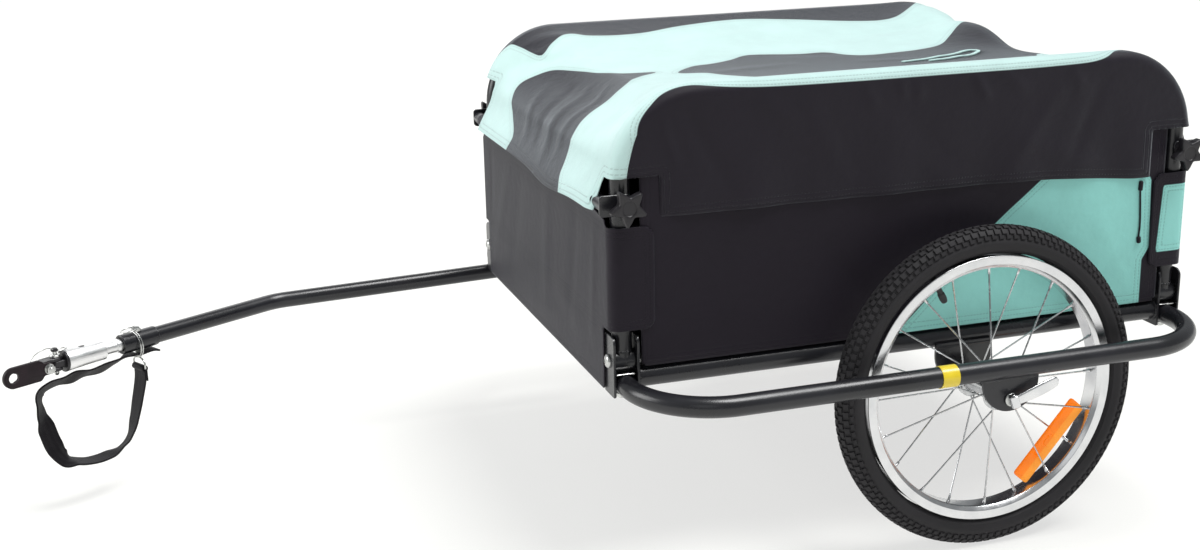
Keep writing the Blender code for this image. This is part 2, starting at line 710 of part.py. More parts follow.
def tyre(name, parent):
    """Tyre open towards the rim, round an inner tube."""
    middle = TYRE_R - TYRE_SECTION
    outer = [(middle + r, v) for r, v in arc((0, 0), TYRE_SECTION, 142, -142, 8)]
    inner = [(middle + r, v) for r, v in arc((0, 0), TYRE_SECTION - TYRE_WALL, -138, 138, 7)]
    smooth(take(turned(outer + inner, WHEEL_STEPS, "Y"), f"tyre_{name}", RUBBER, parent), 60)
    profile = [(middle + r, v) for r, v in arc((0, 0), TUBE_SECTION, 180, -180, 6)[:-1]]
    shape = join(turned(profile, WHEEL_STEPS, "Y"), valve_rod(VALVE_R, VALVE_LENGTH, middle))
    smooth(take(shape, f"inner_tube_{name}", RUBBER, parent), 60)


def valve_rod(radius, length, from_r):
    """Cylinder on the valve's line, from a radius of the wheel to a length inside the rim."""
    direction = Vector((math.cos(VALVE_ANGLE), 0, math.sin(VALVE_ANGLE)))
    return rod(radius, direction * from_r, direction * (RIM_INNER_R - length), 12)


def rim(name, parent):
    """Alloy rim: a box section with a lip on each side of the tyre's bead."""
    lip = RIM_R
    well = RIM_R - 0.006
    wall = 0.0022
    edge = RIM_HALF
    profile = [(lip, edge), (RIM_INNER_R + 0.005, edge), (RIM_INNER_R, edge - 0.005),
               (RIM_INNER_R, -edge + 0.005), (RIM_INNER_R + 0.005, -edge), (lip, -edge),
               (lip, -edge + wall), (well, -edge + wall), (well, edge - wall), (lip, edge - wall)]
    hole = valve_rod(VALVE_R + SLIDE, 2 * VALVE_LENGTH, RIM_R)
    smooth(take(cut(turned(profile[::-1], WHEEL_STEPS, "Y"), hole), f"rim_{name}", ALLOY, parent), 40)


def hub(name, parent):
    """Hub shell and its crossed spokes, which reach the rim's inner face."""
    bore = AXLE_R + RUN
    upper = [(bore, HUB_END), (0.010, HUB_END), (HUB_R, FLANGE_OFFSET + FLANGE / 2),
             (FLANGE_R, FLANGE_OFFSET + FLANGE / 2), (FLANGE_R, FLANGE_OFFSET - FLANGE / 2),
             (HUB_R, FLANGE_OFFSET - FLANGE)]
    shape = turned(upper + [(r, -v) for r, v in reversed(upper)], 16, "Y")
    spokes = [rod(SPOKE_R, *spoke_ends(i), 5) for i in range(SPOKES)]
    smooth(take(join(shape, *spokes), f"hub_and_spokes_{name}", ALLOY, parent))


def spoke_ends(i):
    """A flange carries every second spoke, alternately on its two faces."""
    flange = 1 if i % 2 else -1
    lean = 1 if (i // 2) % 2 else -1
    rim_angle = 2 * math.pi * i / SPOKES
    hub_angle = rim_angle + lean * 2 * math.pi * SPOKE_CROSS / SPOKES
    face = flange * (FLANGE_OFFSET + lean * FLANGE / 2)
    reach = RIM_INNER_R * math.cos(math.pi / WHEEL_STEPS) - SEAT - SPOKE_R / 4
    return (Vector((SPOKE_HOLE_R * math.cos(hub_angle), face, SPOKE_HOLE_R * math.sin(hub_angle))),
            Vector((reach * math.cos(rim_angle), flange * SPOKE_SPLAY, reach * math.sin(rim_angle))))


def axle(name, parent):
    """Hollow axle with a lock nut at each end."""
    half = LOCKNUT / 2
    upper = [(SKEWER_R + SEAT, half), (CUP_R, half), (CUP_R, HUB_END + SEAT), (AXLE_R, HUB_END + SEAT)]
    profile = upper + [(r, -v) for r, v in reversed(upper)]
    smooth(take(turned(profile, 16, "Y"), f"axle_{name}", ZINC, parent))


def reflector(name, parent):
    """Reflector between the spokes, with a clip out to one spoke on each side."""
    end = REFLECTOR_HALF - REFLECTOR_WIDTH / 2
    outline = arc((end, 0), REFLECTOR_WIDTH / 2, -90, 90, 6) + arc((-end, 0), REFLECTOR_WIDTH / 2, 90, 270, 6)
    plate = flat(outline, REFLECTOR_THICK)
    plate.rotation_euler = (0, math.pi / 2 - REFLECTOR_ANGLE, 0)
    plate.location = (REFLECTOR_R * math.cos(REFLECTOR_ANGLE), 0, REFLECTOR_R * math.sin(REFLECTOR_ANGLE))
    clips = []
    for i in CLIPPED_SPOKES:
        start, rim_end = spoke_ends(i)
        share = (REFLECTOR_R - SPOKE_HOLE_R) / (RIM_INNER_R - SPOKE_HOLE_R)
        point = start.lerp(rim_end, share)
        seat = point.y - math.copysign(SPOKE_R + 2 * SEAT, point.y)
        clips.append(rod(CLIP_R, (point.x, 0, point.z), (point.x, seat, point.z), 10))
    smooth(take(join(plate, *clips), f"reflector_{name}", ORANGE, parent))


def skewer(name, side, parent):
    """Quick release: rod through the hollow axle, nut inside the frame, cam lever outside."""
    inside = -(DROPOUT / 2 + AXLE_PLATE + 2 * SEAT + PLATE_LEAN)
    outside = -inside
    profile = [(0, outside + CUP), (CUP_R, outside + CUP), (CUP_R, outside), (SKEWER_R, outside),
               (SKEWER_R, inside), (CUP_R, inside), (CUP_R, inside - SKEWER_NUT), (0, inside - SKEWER_NUT)]
    shape = turned(profile, 16, "Y")
    if side < 0:
        shape.rotation_euler = (math.pi, 0, 0)
        shape = bake(shape)
    smooth(take(shape, f"skewer_{name}", ZINC, parent))
    barrel_y = side * (outside + CUP + SEAT + LEVER_BARREL_R)
    axis = empty(f"quick_release_{name}_axis", parent, (0, barrel_y, 0))
    along = Vector((-math.cos(LEVER_RISE), 0, math.sin(LEVER_RISE)))
    across = Vector((math.sin(LEVER_RISE), 0, math.cos(LEVER_RISE)))
    barrel = rod(LEVER_BARREL_R, -LEVER_HALF * across, LEVER_HALF * across, 12)
    outline = [(0, -LEVER_BARREL_R), (LEVER_LENGTH - LEVER_CORNER, -LEVER_HALF),
               (LEVER_LENGTH, -LEVER_HALF / 2), (LEVER_LENGTH, LEVER_HALF / 2),
               (LEVER_LENGTH - LEVER_CORNER, LEVER_HALF), (0, LEVER_BARREL_R)]
    points = [(along.x * u + across.x * v, along.z * u + across.z * v) for u, v in outline]
    arm = flat(points, LEVER_THICK)
    smooth(take(join(barrel, arm), f"quick_release_lever_{name}", ALLOY, axis))


def wheels():
    for name, side in SIDES:
        centre = (0, side * WHEEL_Y, AXLE_Z)
        fixed = empty(f"axle_{name}_line", LENGTH_AXIS, centre, (side * CAMBER, 0, 0))
        turning = empty(f"wheel_{name}_axis", fixed)
        tyre(name, turning)
        rim(name, turning)
        hub(name, turning)
        axle(name, fixed)
        reflector(name, turning)
        skewer(name, side, fixed)


def drawbar_height(x):
    return BEND_Z + (BEND_X - x) * math.tan(DROOP)


def socket():
    """Tube under the right rail, on two gussets, that the drawbar's rear end slides into."""
    start = Vector((SOCKET_REAR_X, -BAR_Y, drawbar_height(SOCKET_REAR_X)))
    end = Vector((SOCKET_FRONT_X, -BAR_Y, drawbar_height(SOCKET_FRONT_X)))
    run = (end - start).normalized()
    shape = rod(DRAWBAR_R + SEAT + SOCKET_WALL, start, end, 24)
    for share in (0.22, 0.8):
        middle = start.lerp(end, share)
        low = middle.z - DRAWBAR_R / 3
        gusset = box((middle.x, -(BAR_Y + RAIL_Y) / 2, (low + RAIL_Z) / 2),
                     (GUSSET, BAR_Y - RAIL_Y, RAIL_Z - low))
        shape = join(shape, gusset)
    bore = rod(DRAWBAR_R + SEAT, start - 0.01 * run, end + 0.01 * run, 24)
    rail = rod(RAIL_R + SEAT, (RAIL_REAR_X, -RAIL_Y, RAIL_Z), (RAIL_FRONT_X, -RAIL_Y, RAIL_Z))
    through = Vector((0, 0, 2 * RAIL_R))
    hole = rod(SOCKET_PIN_R + SLIDE, start.lerp(end, 0.5) - through, start.lerp(end, 0.5) + through, 12)
    smooth(take(cut(shape, bore, rail, hole), "drawbar_socket", PAINT, LENGTH_AXIS))
    middle = start.lerp(end, 0.5)
    top = DRAWBAR_R + SOCKET_WALL + 3 * SEAT
    pin = turned([(0, top + 0.006), (0.007, top + 0.006), (0.008, top + 0.003), (0.008, top),
                  (SOCKET_PIN_R, top), (SOCKET_PIN_R, -top - 0.004), (0, -top - 0.004)], 12)
    axis = empty("drawbar_pin_axis", LENGTH_AXIS, middle)
    smooth(take(pin, "drawbar_pin", ZINC, axis))


def drawbar_path():
    """Straight leg with the droop, a bend inward, and a level second leg."""
    bend = Vector((BEND_X, -BAR_Y, BEND_Z))
    setback = BEND_R * math.tan(TURN / 2)
    path = [Vector((SOCKET_REAR_X + 0.004, -BAR_Y, drawbar_height(SOCKET_REAR_X + 0.004)))]
    centre = (BEND_X - setback, -BAR_Y + BEND_R)
    for x, y in arc(centre, BEND_R, -90, -90 + math.degrees(TURN), 6):
        path.append(Vector((x, y, drawbar_height(min(x, BEND_X)))))
    path.append(bend + SECOND_LEG * Vector((math.cos(TURN), math.sin(TURN), 0)))
    return path


def drawbar():
    """Bent bar with a thicker collar at its open front end."""
    path = drawbar_path()
    shape = tube(path, DRAWBAR_R, 5)
    forward = Vector((math.cos(TURN), math.sin(TURN), 0))
    bend = Vector((BEND_X, -BAR_Y, BEND_Z))
    bore = rod(COUPLER_R + SEAT, bend + COUPLER_REAR * forward, bend + (SECOND_LEG + 0.02) * forward)
    up = Vector((0, 0, 2 * DRAWBAR_R))
    at = bend + LOCK_PIN_AT * forward
    lock = rod(PIN_R + SLIDE, at - up, at + up, 12)
    middle = Vector((SOCKET_REAR_X + SOCKET_FRONT_X, -2 * BAR_Y, 0)) / 2
    middle.z = drawbar_height(middle.x)
    pin = rod(SOCKET_PIN_R + SLIDE, middle - up, middle + up, 12)
    collar = rod(DRAWBAR_R + COLLAR, bend + COLLAR_START * forward, bend + SECOND_LEG * forward, 24)
    smooth(take(cut(join(shape, collar), bore, lock, pin), "drawbar", PAINT, LENGTH_AXIS))


def lock_pin(hitch):
    """Pin through the drawbar's end, the coupler tube and the strap's eyelet, and its ring."""
    axis = empty("lock_pin_axis", hitch, (LOCK_PIN_AT, 0, 0))
    top = DRAWBAR_R + COLLAR + SEAT
    pin = turned([(0, top + 0.008), (0.0045, top + 0.007), (0.006, top + 0.004), (0.006, top),
                  (PIN_R, top), (PIN_R, -LOCK_PIN_REACH), (0, -LOCK_PIN_REACH)], 12)
    smooth(take(pin, "lock_pin", ZINC, axis))
    centre = (LOCK_PIN_AT, 0, -LOCK_PIN_REACH - SEAT - RING_R - RING_WIRE)
    smooth(take(ring(RING_R, RING_WIRE, centre, (0, 1, 0)), "strap_ring", ZINC, hitch))


def ring(radius, wire, centre, normal, steps=16):
    """Closed wire ring."""
    bpy.ops.mesh.primitive_torus_add(major_radius=radius, minor_radius=wire, major_segments=steps,
                                     minor_segments=6)
    shape = bpy.context.object
    shape.rotation_mode = "QUATERNION"
    shape.rotation_quaternion = Vector(normal).to_track_quat("Z", "Y")
    shape.location = centre
    return bake(shape)


def coupler(hitch):
    """Coupler tube in the drawbar, and the cylinder that swivels on it."""
    tube_shape = rod(COUPLER_R, (COUPLER_REAR + SLIDE, 0, 0), (COUPLER_FRONT, 0, 0))
    hole = rod(PIN_R + SLIDE, (LOCK_PIN_AT, 0, -0.02), (LOCK_PIN_AT, 0, 0.02), 12)
    smooth(take(cut(tube_shape, hole), "coupler_tube", ALLOY, hitch))
    swivel = empty("swivel_axis", hitch, (CYLINDER_REAR, 0, 0))
    length = CYLINDER_FRONT - CYLINDER_REAR
    depth = COUPLER_FRONT - CYLINDER_REAR + SLIDE
    bore = COUPLER_R + RUN
    edge = 0.001
    body = turned([(0, length), (CYLINDER_R - edge, length), (CYLINDER_R, length - edge),
                   (CYLINDER_R, edge), (CYLINDER_R - edge, 0), (bore, 0), (bore, depth), (0, depth)],
                  24, "X")
    smooth(take(body, "coupler_cylinder", ALLOY, swivel))
    cap_r = CYLINDER_R - edge / 2
    cap = turned([(0, CAP_LENGTH), (cap_r, CAP_LENGTH), (cap_r, 0), (0, 0)], 24, "X")
    cap = moved(cap, (length + SEAT, 0, 0))
    pin_x = YAW_AT - CYLINDER_REAR
    start = length + SEAT + CAP_LENGTH / 2
    outline = [(start, -FORK_R), (pin_x, -FORK_R)] + arc((pin_x, 0), FORK_R, -80, 80, 8)
    outline += [(pin_x, FORK_R), (start, FORK_R)]
    tongue = flat(outline, 2 * TONGUE_HALF, "XY", [((pin_x, 0), PIN_R + RUN)])
    smooth(take(join(cap, tongue), "swivel_eye", PLASTIC, swivel))
    return swivel


def clevis(swivel):
    """Fork over the eye, turning on the ball pin, with the hitch plate bolted to its side."""
    yaw = empty("yaw_axis", swivel, (YAW_AT - CYLINDER_REAR, 0, 0))
    web_x = FORK_R + 2 * SEAT
    outer = TONGUE_HALF + SEAT + FORK_THICK
    outline = [(web_x + WEB_LENGTH, -WEB_HALF), (web_x + WEB_LENGTH, WEB_HALF), (web_x, WEB_HALF)]
    outline += arc((0, 0), FORK_R, 90, 270, 10) + [(web_x, -WEB_HALF)]
    body = flat(outline, 2 * outer, "XY", [((0, 0), PIN_R + RUN)])
    slot = box((0, 0, 0), (2 * web_x, 4 * FORK_R, 2 * (TONGUE_HALF + SEAT)))
    bolt_x = HITCH_BOLT_AT - YAW_AT
    cross = rod(BOLT_R - 0.001 + SEAT, (bolt_x, -0.02, 0), (bolt_x, 0.02, 0), 12)
    smooth(take(cut(body, slot, cross), "clevis", PLASTIC, yaw))

    pull = empty("hitch_pin_axis", yaw)
    top = outer + SEAT
    pin = turned([(0, top + 0.011), (0.003, top + 0.011), (0.0045, top + 0.009), (0.003, top + 0.006),
                  (0.0065, top + 0.003), (0.0065, top), (PIN_R, top), (PIN_R, -outer - 0.004),
                  (0.0018, -outer - 0.006), (0, -outer - 0.006)], 12)
    smooth(take(pin, "hitch_pin", ZINC, pull))

    pitch = empty("pitch_axis", yaw, (bolt_x, 0, 0))
    plate_y = WEB_HALF + SEAT + PLATE_THICK / 2
    hole_x = PLATE_HOLE_AT - HITCH_BOLT_AT
    outline = [(-0.007, -0.009), (0.002, -PLATE_HALF), (hole_x, -PLATE_HALF)]
    outline += arc((hole_x, 0), PLATE_HALF, -80, 80, 12)
    outline += [(hole_x, PLATE_HALF), (0.002, PLATE_HALF), (-0.007, 0.009)]
    plate = flat(outline, PLATE_THICK, "XZ", [((hole_x, 0), PLATE_HOLE_R), ((0, 0), BOLT_R - 0.001 + RUN)])
    pad = turned([(SEAT_PAD_R, PLATE_THICK / 2 + SEAT_PAD), (SEAT_PAD_R, -PLATE_THICK / 2 - SEAT_PAD),
                  (PLATE_HOLE_R, -PLATE_THICK / 2 - SEAT_PAD), (PLATE_HOLE_R, PLATE_THICK / 2 + SEAT_PAD)],
                 16, "Y")
    plate = join(plate, moved(pad, (hole_x, 0, 0)))
    smooth(take(moved(plate, (0, plate_y, 0)), "hitch_plate", PAINT, pitch))

    far = WEB_HALF + SEAT
    near = WEB_HALF + 2 * SEAT + PLATE_THICK
    shank = rod(BOLT_R - 0.001, (bolt_x, -far - 0.002, 0), (bolt_x, near + 0.002, 0), 12)
    head = moved(rod(0.006, (0, -0.002, 0), (0, 0.002, 0), 20), (bolt_x, -far - 0.002, 0))
    nut = hexagon(0.0125, 0.0055, (bolt_x, near + 0.00275, 0), "XZ")
    smooth(take(join(shank, head, nut), "hitch_bolt", ZINC, yaw))


STRAP_ROUTE = [(-0.1750, -0.0425), (-0.1730, -0.0540), (-0.1650, -0.0790), (-0.1570, -0.1060),
               (-0.1490, -0.1270), (-0.1370, -0.1370), (-0.1160, -0.1425), (-0.0920, -0.1425),
               (-0.0690, -0.1360), (-0.0550, -0.1250), (-0.0430, -0.1050), (-0.0370, -0.0810),
               (-0.0330, -0.0630), (-0.0300, -0.0480), (-0.0330, -0.0350), (-0.0450, -0.0270),
               (-0.0620, -0.0235), (-0.0800, -0.0245), (-0.1000, -0.0245), (-0.1220, -0.0240),
               (-0.1460, -0.0200), (-0.1620, -0.0165), (-0.1900, -0.0150), (-0.2020, -0.0190)]


def strap(hitch):
    """Safety strap hanging in a loop, from the ring to below the drawbar's end."""
    path = smooth_path([(STRAP_FROM + u, 0, v) for u, v in STRAP_ROUTE], 2)
    rings = []
    for i, point in enumerate(path):
        run = (path[min(i + 1, len(path) - 1)] - path[max(i - 1, 0)]).normalized()
        normal = run.cross(Vector((0, 1, 0)))
        wide = Vector((0, STRAP_WIDTH / 2, 0))
        deep = normal * STRAP_THICK / 2
        rings.append([point + wide + deep, point - wide + deep, point - wide - deep, point + wide - deep])
    eyelet = rod(PIN_R + SLIDE, (LOCK_PIN_AT, 0, -0.03), (LOCK_PIN_AT, 0, 0), 12)
    take(cut(loft(rings), eyelet), "safety_strap", WEBBING, hitch)


def build():
    base_frame()
    corner_brackets()
    guards()
    guard_bolts()
    pivot_bolts()
    hoops()
    floor_panel()
    end_walls()
    cross_bars()
    star_knobs()
    cover()
    wheels()
    socket()
    hitch = empty("hitch_line", LENGTH_AXIS, (BEND_X, -BAR_Y, BEND_Z), (0, 0, TURN))
    drawbar()
    lock_pin(hitch)
    clevis(coupler(hitch))
    strap(hitch)


build()
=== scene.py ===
import bmesh
import bpy
import numpy as np
from mathutils import Matrix, Vector


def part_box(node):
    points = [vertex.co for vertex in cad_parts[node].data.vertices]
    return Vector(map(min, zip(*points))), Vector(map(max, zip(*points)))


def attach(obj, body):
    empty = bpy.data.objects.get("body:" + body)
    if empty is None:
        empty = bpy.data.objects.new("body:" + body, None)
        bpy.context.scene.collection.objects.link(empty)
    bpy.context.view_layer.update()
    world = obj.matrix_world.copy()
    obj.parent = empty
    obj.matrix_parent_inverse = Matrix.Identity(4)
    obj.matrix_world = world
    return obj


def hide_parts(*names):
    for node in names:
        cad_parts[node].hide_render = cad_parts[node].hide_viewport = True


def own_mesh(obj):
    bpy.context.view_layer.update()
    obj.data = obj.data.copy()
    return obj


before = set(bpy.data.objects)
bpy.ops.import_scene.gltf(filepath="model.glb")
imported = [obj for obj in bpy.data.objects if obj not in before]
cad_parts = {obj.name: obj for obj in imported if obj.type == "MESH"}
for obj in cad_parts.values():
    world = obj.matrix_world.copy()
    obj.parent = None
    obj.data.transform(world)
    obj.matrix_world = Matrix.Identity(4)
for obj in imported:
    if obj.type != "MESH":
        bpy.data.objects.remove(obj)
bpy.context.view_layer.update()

# Studio: a matt paper floor that reaches past the view, a large soft key light over the hitch's
# side, a weak fill beside the camera, and the camera where the photograph was taken.
CAMERA_AT = (0.57765, 1.8927, 0.8568)
CAMERA_AXES = ((-0.95022, 0.31095, -0.02019), (-0.1054, -0.25973, 0.95992), (0.29324, 0.91425, 0.27957))
LENS_MM = 48.22
SENSOR_MM = 36.0


def put(name, data):
    """A new object of this name, in the scene."""
    made = bpy.data.objects.new(name, data)
    bpy.context.scene.collection.objects.link(made)
    return made


def hexa(code):
    """Linear RGBA of an sRGB hex value: c/12.92 below 0.04045, else ((c + 0.055)/1.055)^2.4."""
    c = np.array([int(code[i:i + 2], 16) for i in (1, 3, 5)]) / 255
    return (*np.where(c <= 0.04045, c / 12.92, ((c + 0.055) / 1.055) ** 2.4), 1.0)


def add(tree, kind, inputs=(), stops=(), out=0, **settings):
    """Adds a shader node: its settings, its inputs as {socket: value or output}, a ramp's stops.
    Returns one of its outputs."""
    node = tree.nodes.new("ShaderNode" + kind)
    for key, value in settings.items():
        setattr(node, key, value)
    for key, value in dict(inputs).items():
        if isinstance(value, bpy.types.NodeSocket):
            tree.links.new(value, node.inputs[key])
        else:
            node.inputs[key].default_value = value
    for i, (place, colour) in enumerate(stops):
        stop = node.color_ramp.elements[i] if i < 2 else node.color_ramp.elements.new(place)
        stop.position = place
        stop.color = colour
    return node.outputs[out]


def surface_of(name, **sockets):
    """A material, its node tree and its shader, with constants set on the shader's own sockets."""
    made = bpy.data.materials.new(name)
    made.use_nodes = True
    shader = made.node_tree.nodes["Principled BSDF"]
    for key, value in sockets.items():
        shader.inputs[key.replace("_", " ").title().replace("Ior", "IOR")].default_value = value
    return made, made.node_tree, shader


def clouded(name, cloud, tones, dull=None, relief=None, grain=None, lines=None, ends=(0.3, 0.7), **sockets):
    """A material in object space. One noise, cloud (scale, detail, roughness), takes the colour from
    the first tone to the second and the roughness over the range dull. relief is the strength and
    depth of a bump made by the grain (kind, scale, detail), drawn out by lines, or by the cloud."""
    made, tree, shader = surface_of(name, **sockets)
    sizes = "Scale", "Detail", "Roughness"
    place = add(tree, "TexCoord", out="Object")
    height = add(tree, "TexNoise", {"Vector": place, **dict(zip(sizes, cloud))})
    tone = add(tree, "ValToRGB", {0: height}, stops=[(at, hexa(code)) for at, code in zip(ends, tones)])
    tree.links.new(tone, shader.inputs["Base Color"])
    if dull:
        soft = add(tree, "MapRange", {0: height, 1: 0.3, 2: 0.7, 3: dull[0], 4: dull[1]})
        tree.links.new(soft, shader.inputs["Roughness"])
    if lines:
        place = add(tree, "Mapping", {"Vector": place, "Scale": lines})
    if grain:
        height = add(tree, grain[0], {"Vector": place, **dict(zip(sizes, grain[1:]))})
    if relief:
        bump = add(tree, "Bump", {"Height": height, "Strength": relief[0], "Distance": relief[1]})
        tree.links.new(bump, shader.inputs["Normal"])
    return made


def skin(grid, around=False, along=False):
    """Points and quads of a grid of rows and columns. around joins the last column to the first,
    along the last row to the first."""
    rows, columns = grid.shape[:2]
    i = np.arange(rows if along else rows - 1)[:, None]
    j = np.arange(columns if around else columns - 1)[None]
    i2, j2 = (i + 1) % rows, (j + 1) % columns
    corners = np.broadcast_arrays(i * columns + j, i * columns + j2, i2 * columns + j2, i2 * columns + j)
    return grid.reshape(-1, grid.shape[-1]), np.stack(corners, -1).reshape(-1, 4)


def mesh_of(name, shapes):
    """One mesh from several (points, quads)."""
    starts = np.cumsum([0] + [len(points) for points, _ in shapes[:-1]])
    points = np.concatenate([points for points, _ in shapes])
    quads = np.concatenate([faces + start for (_, faces), start in zip(shapes, starts)])
    mesh = bpy.data.meshes.new(name)
    mesh.vertices.add(len(points))
    mesh.vertices.foreach_set("co", points.astype(np.float32).ravel())
    mesh.loops.add(quads.size)
    mesh.loops.foreach_set("vertex_index", quads.astype(np.int32).ravel())
    mesh.polygons.add(len(quads))
    mesh.polygons.foreach_set("loop_start", np.arange(0, quads.size, 4, dtype=np.int32))
    mesh.update(calc_edges=True)
    return mesh


# White paper over a light table: lit from below too, so that shadows stay faint, with a 2 mm tooth
paper = clouded("white paper on a light table", (500.0, 3.0), ("#94948f", "#9a9a96"), roughness=0.9,
                specular_ior_level=0.1, emission_color=(1.0, 1.0, 0.995, 1.0), emission_strength=0.66)
u, v = np.meshgrid(np.linspace(-12, 12, 9), np.linspace(-12, 12, 9))
floor = put("studio_floor", mesh_of("studio_floor", [skin(np.stack([u, v, 0 * u], -1))]))
floor.data.materials.append(paper)

camera = put("camera", bpy.data.cameras.new("camera"))
camera.data.lens = LENS_MM
camera.data.sensor_width = SENSOR_MM
camera.data.clip_end = 60
camera.matrix_world = Matrix.Translation(CAMERA_AT) @ Matrix(CAMERA_AXES).transposed().to_4x4()
bpy.context.scene.camera = camera

for name, kind, at, aim, size, strength in (
        ("overhead_light", "SUN", (-0.9, 0.5, 3.2), (0, 0, 0.3), np.radians(30), 3.0),
        ("hitch_side_card", "AREA", (3.0, -0.7, 1.5), (0, 0, 0.35), 1.8, 55),
        ("far_card", "AREA", (-0.4, -3.8, 1.7), (0, 0, 0.4), 3.0, 40),
        ("fill_card", "AREA", (1.4, 3.4, 2.2), (0, 0, 0.3), 1.6, 5)):
    light = put(name, bpy.data.lights.new(name, kind))
    setattr(light.data, "angle" if kind == "SUN" else "size", size)
    light.data.energy = strength
    light.location = at
    light.rotation_euler = (Vector(at) - Vector(aim)).to_track_quat("Z", "Y").to_euler()
sky = bpy.data.worlds.new("white_studio")
bpy.context.scene.world = sky
sky.use_nodes = True
sky.node_tree.nodes["Background"].inputs["Color"].default_value = (0.94, 0.98, 1.0, 1.0)
sky.node_tree.nodes["Background"].inputs["Strength"].default_value = 0.3
bpy.context.scene.view_settings.view_transform = "Standard"

# Base frame: two round steel rails and two cross tubes, with the inner axle plates. Sawn, notched
# and MIG welded, then powder coated satin black as one piece.
wheel_low, wheel_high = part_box("tyre_left")
AXLE_X, WHEEL_Y, AXLE_Z = (wheel_low + wheel_high) / 2
SIDES = (("left", 1), ("right", -1))
FRONT_X, REAR_X = AXLE_X + 0.427, AXLE_X - 0.288
ENDS = (("front", FRONT_X, 1), ("rear", REAR_X, -1))
LEG_Y = 0.27
RAIL_Y, RAIL_Z, RAIL_R = 0.2722, AXLE_Z + 0.0445, 0.0127
RAIL_ENDS = REAR_X + 0.0159, FRONT_X - 0.0159
CROSS_R, CROSS_INSET = 0.011, 0.014
AXLE_PLATE, AXLE_PLATE_AT = 0.0045, 0.0522
X, Y, Z = np.eye(3)


def circle(radius, steps=28):
    """Points (radius cos a, radius sin a) for a round section."""
    a = 2 * np.pi * np.arange(steps) / steps
    return radius * np.stack([np.cos(a), np.sin(a)], -1)


def arc(radius, start, end, steps):
    """Points of a circle's arc from one angle to another, in degrees."""
    a = np.radians(np.linspace(start, end, steps))
    return radius * np.stack([np.cos(a), np.sin(a)], -1)


def unit(vectors):
    """Vectors divided by their lengths."""
    return vectors / np.linalg.norm(vectors, axis=-1, keepdims=True)


def across_from(axis):
    """A direction across an axis: its cross product with Z, or with X for an upright axis."""
    return np.cross(axis, Z if abs(axis[2]) < 0.9 else X)


def filleted(points, radius, steps=8, closed=True):
    """Line through corner points with each corner an arc that touches both its sides: the centre
    lies on the bisector at radius / sin(half the corner's angle)."""
    points = np.asarray(points, float)
    corner = points if closed else points[1:-1]
    before = unit((np.roll(points, 1, 0) if closed else points[:-2]) - corner)
    after = unit((np.roll(points, -1, 0) if closed else points[2:]) - corner)
    half = np.arccos(np.clip((before * after).sum(1), -1, 1))[:, None] / 2
    radius = np.broadcast_to(np.reshape(radius, (-1, 1)), half.shape)
    centre = corner + (before + after) / (2 * np.cos(half)) * radius / np.sin(half)
    first = (corner + before * radius / np.tan(half) - centre) / radius
    last = (corner + after * radius / np.tan(half) - centre) / radius
    second = unit(last - (first * last).sum(1, keepdims=True) * first)
    a = np.linspace(0, 1, steps + 1)[None, :, None] * (np.pi - 2 * half)[:, None]
    arcs = centre[:, None] + radius[:, None] * (np.cos(a) * first[:, None] + np.sin(a) * second[:, None])
    arcs = arcs.reshape(-1, points.shape[1])
    return arcs if closed else np.concatenate([points[:1], arcs, points[-1:]])


def slab(half_u, half_v, radius, steps=6):
    """Outline of a rectangle with rounded corners, about its middle."""
    return filleted([(-half_u, -half_v), (half_u, -half_v), (half_u, half_v), (-half_u, half_v)], radius, steps)


def rod(radius, low, high):
    """Profile of a plain cylinder between two heights, for turned."""
    return [(0, low), (radius, low), (radius, high), (0, high)]


def swept(path, section, up=Z, edge=0.0005):
    """Bar whose section (side, over) is carried along a path: point = path + side * (tangent x up)
    + over * (that x tangent). Both ends are chamfered by edge and close to a point."""
    path, section = np.asarray(path, float), np.asarray(section, float)
    tangent = unit(np.gradient(path, axis=0))
    side = unit(np.cross(tangent, up))
    over = np.cross(side, tangent)
    small = section * (1 - edge / np.abs(section).max(0))
    rings = np.stack([0 * small, small] + [section] * len(path) + [small, 0 * small])
    at = np.array([0, 0] + list(range(len(path))) + [len(path) - 1] * 2)
    shift = np.zeros(len(at))
    shift[2], shift[-3] = edge, -edge
    centre = path[at] + shift[:, None] * tangent[at]
    grid = centre[:, None] + rings[..., :1] * side[at][:, None] + rings[..., 1:] * over[at][:, None]
    return skin(grid, around=True)


def plate(outline, thickness, centre, u=X, v=Z, edge=0.0005):
    """Flat plate: the outline (along u, along v) swept through its thickness."""
    centre, reach = np.asarray(centre, float), np.cross(u, v) * thickness / 2
    return swept([centre + reach, centre - reach], outline, v, edge)


def turned(profile, centre=(0, 0, 0), axis=Y, steps=40, loop=False):
    """Solid of revolution: centre + height * axis + radius * (cos a, sin a) across it, from
    (radius, height) pairs. A loop is a ring, whose last pair joins the first."""
    axis = unit(axis)
    across = unit(across_from(axis))
    a = 2 * np.pi * np.arange(steps)[None, :, None] / steps
    radius, height = np.asarray(profile, float).T[:, :, None, None]
    grid = centre + height * axis + radius * (np.cos(a) * across + np.sin(a) * np.cross(axis, across))
    return skin(grid, around=True, along=loop)


def bead(centre, axis, radius, wire=0.0022, lumps=22):
    """Weld bead round a joint: a torus whose wire swells and shrinks once for each puddle."""
    a, b = np.meshgrid(np.linspace(0, 2 * np.pi, lumps * 6, endpoint=False),
                       np.linspace(0, 2 * np.pi, 10, endpoint=False), indexing="ij")
    across = across_from(axis)
    thick = (wire * (1 + 0.13 * np.cos(lumps * a)))[..., None]
    out = np.cos(a)[..., None] * across + np.sin(a)[..., None] * np.cross(axis, across)
    grid = centre + out * (radius + thick * np.cos(b)[..., None]) + axis * thick * np.sin(b)[..., None]
    return skin(grid, around=True, along=True)


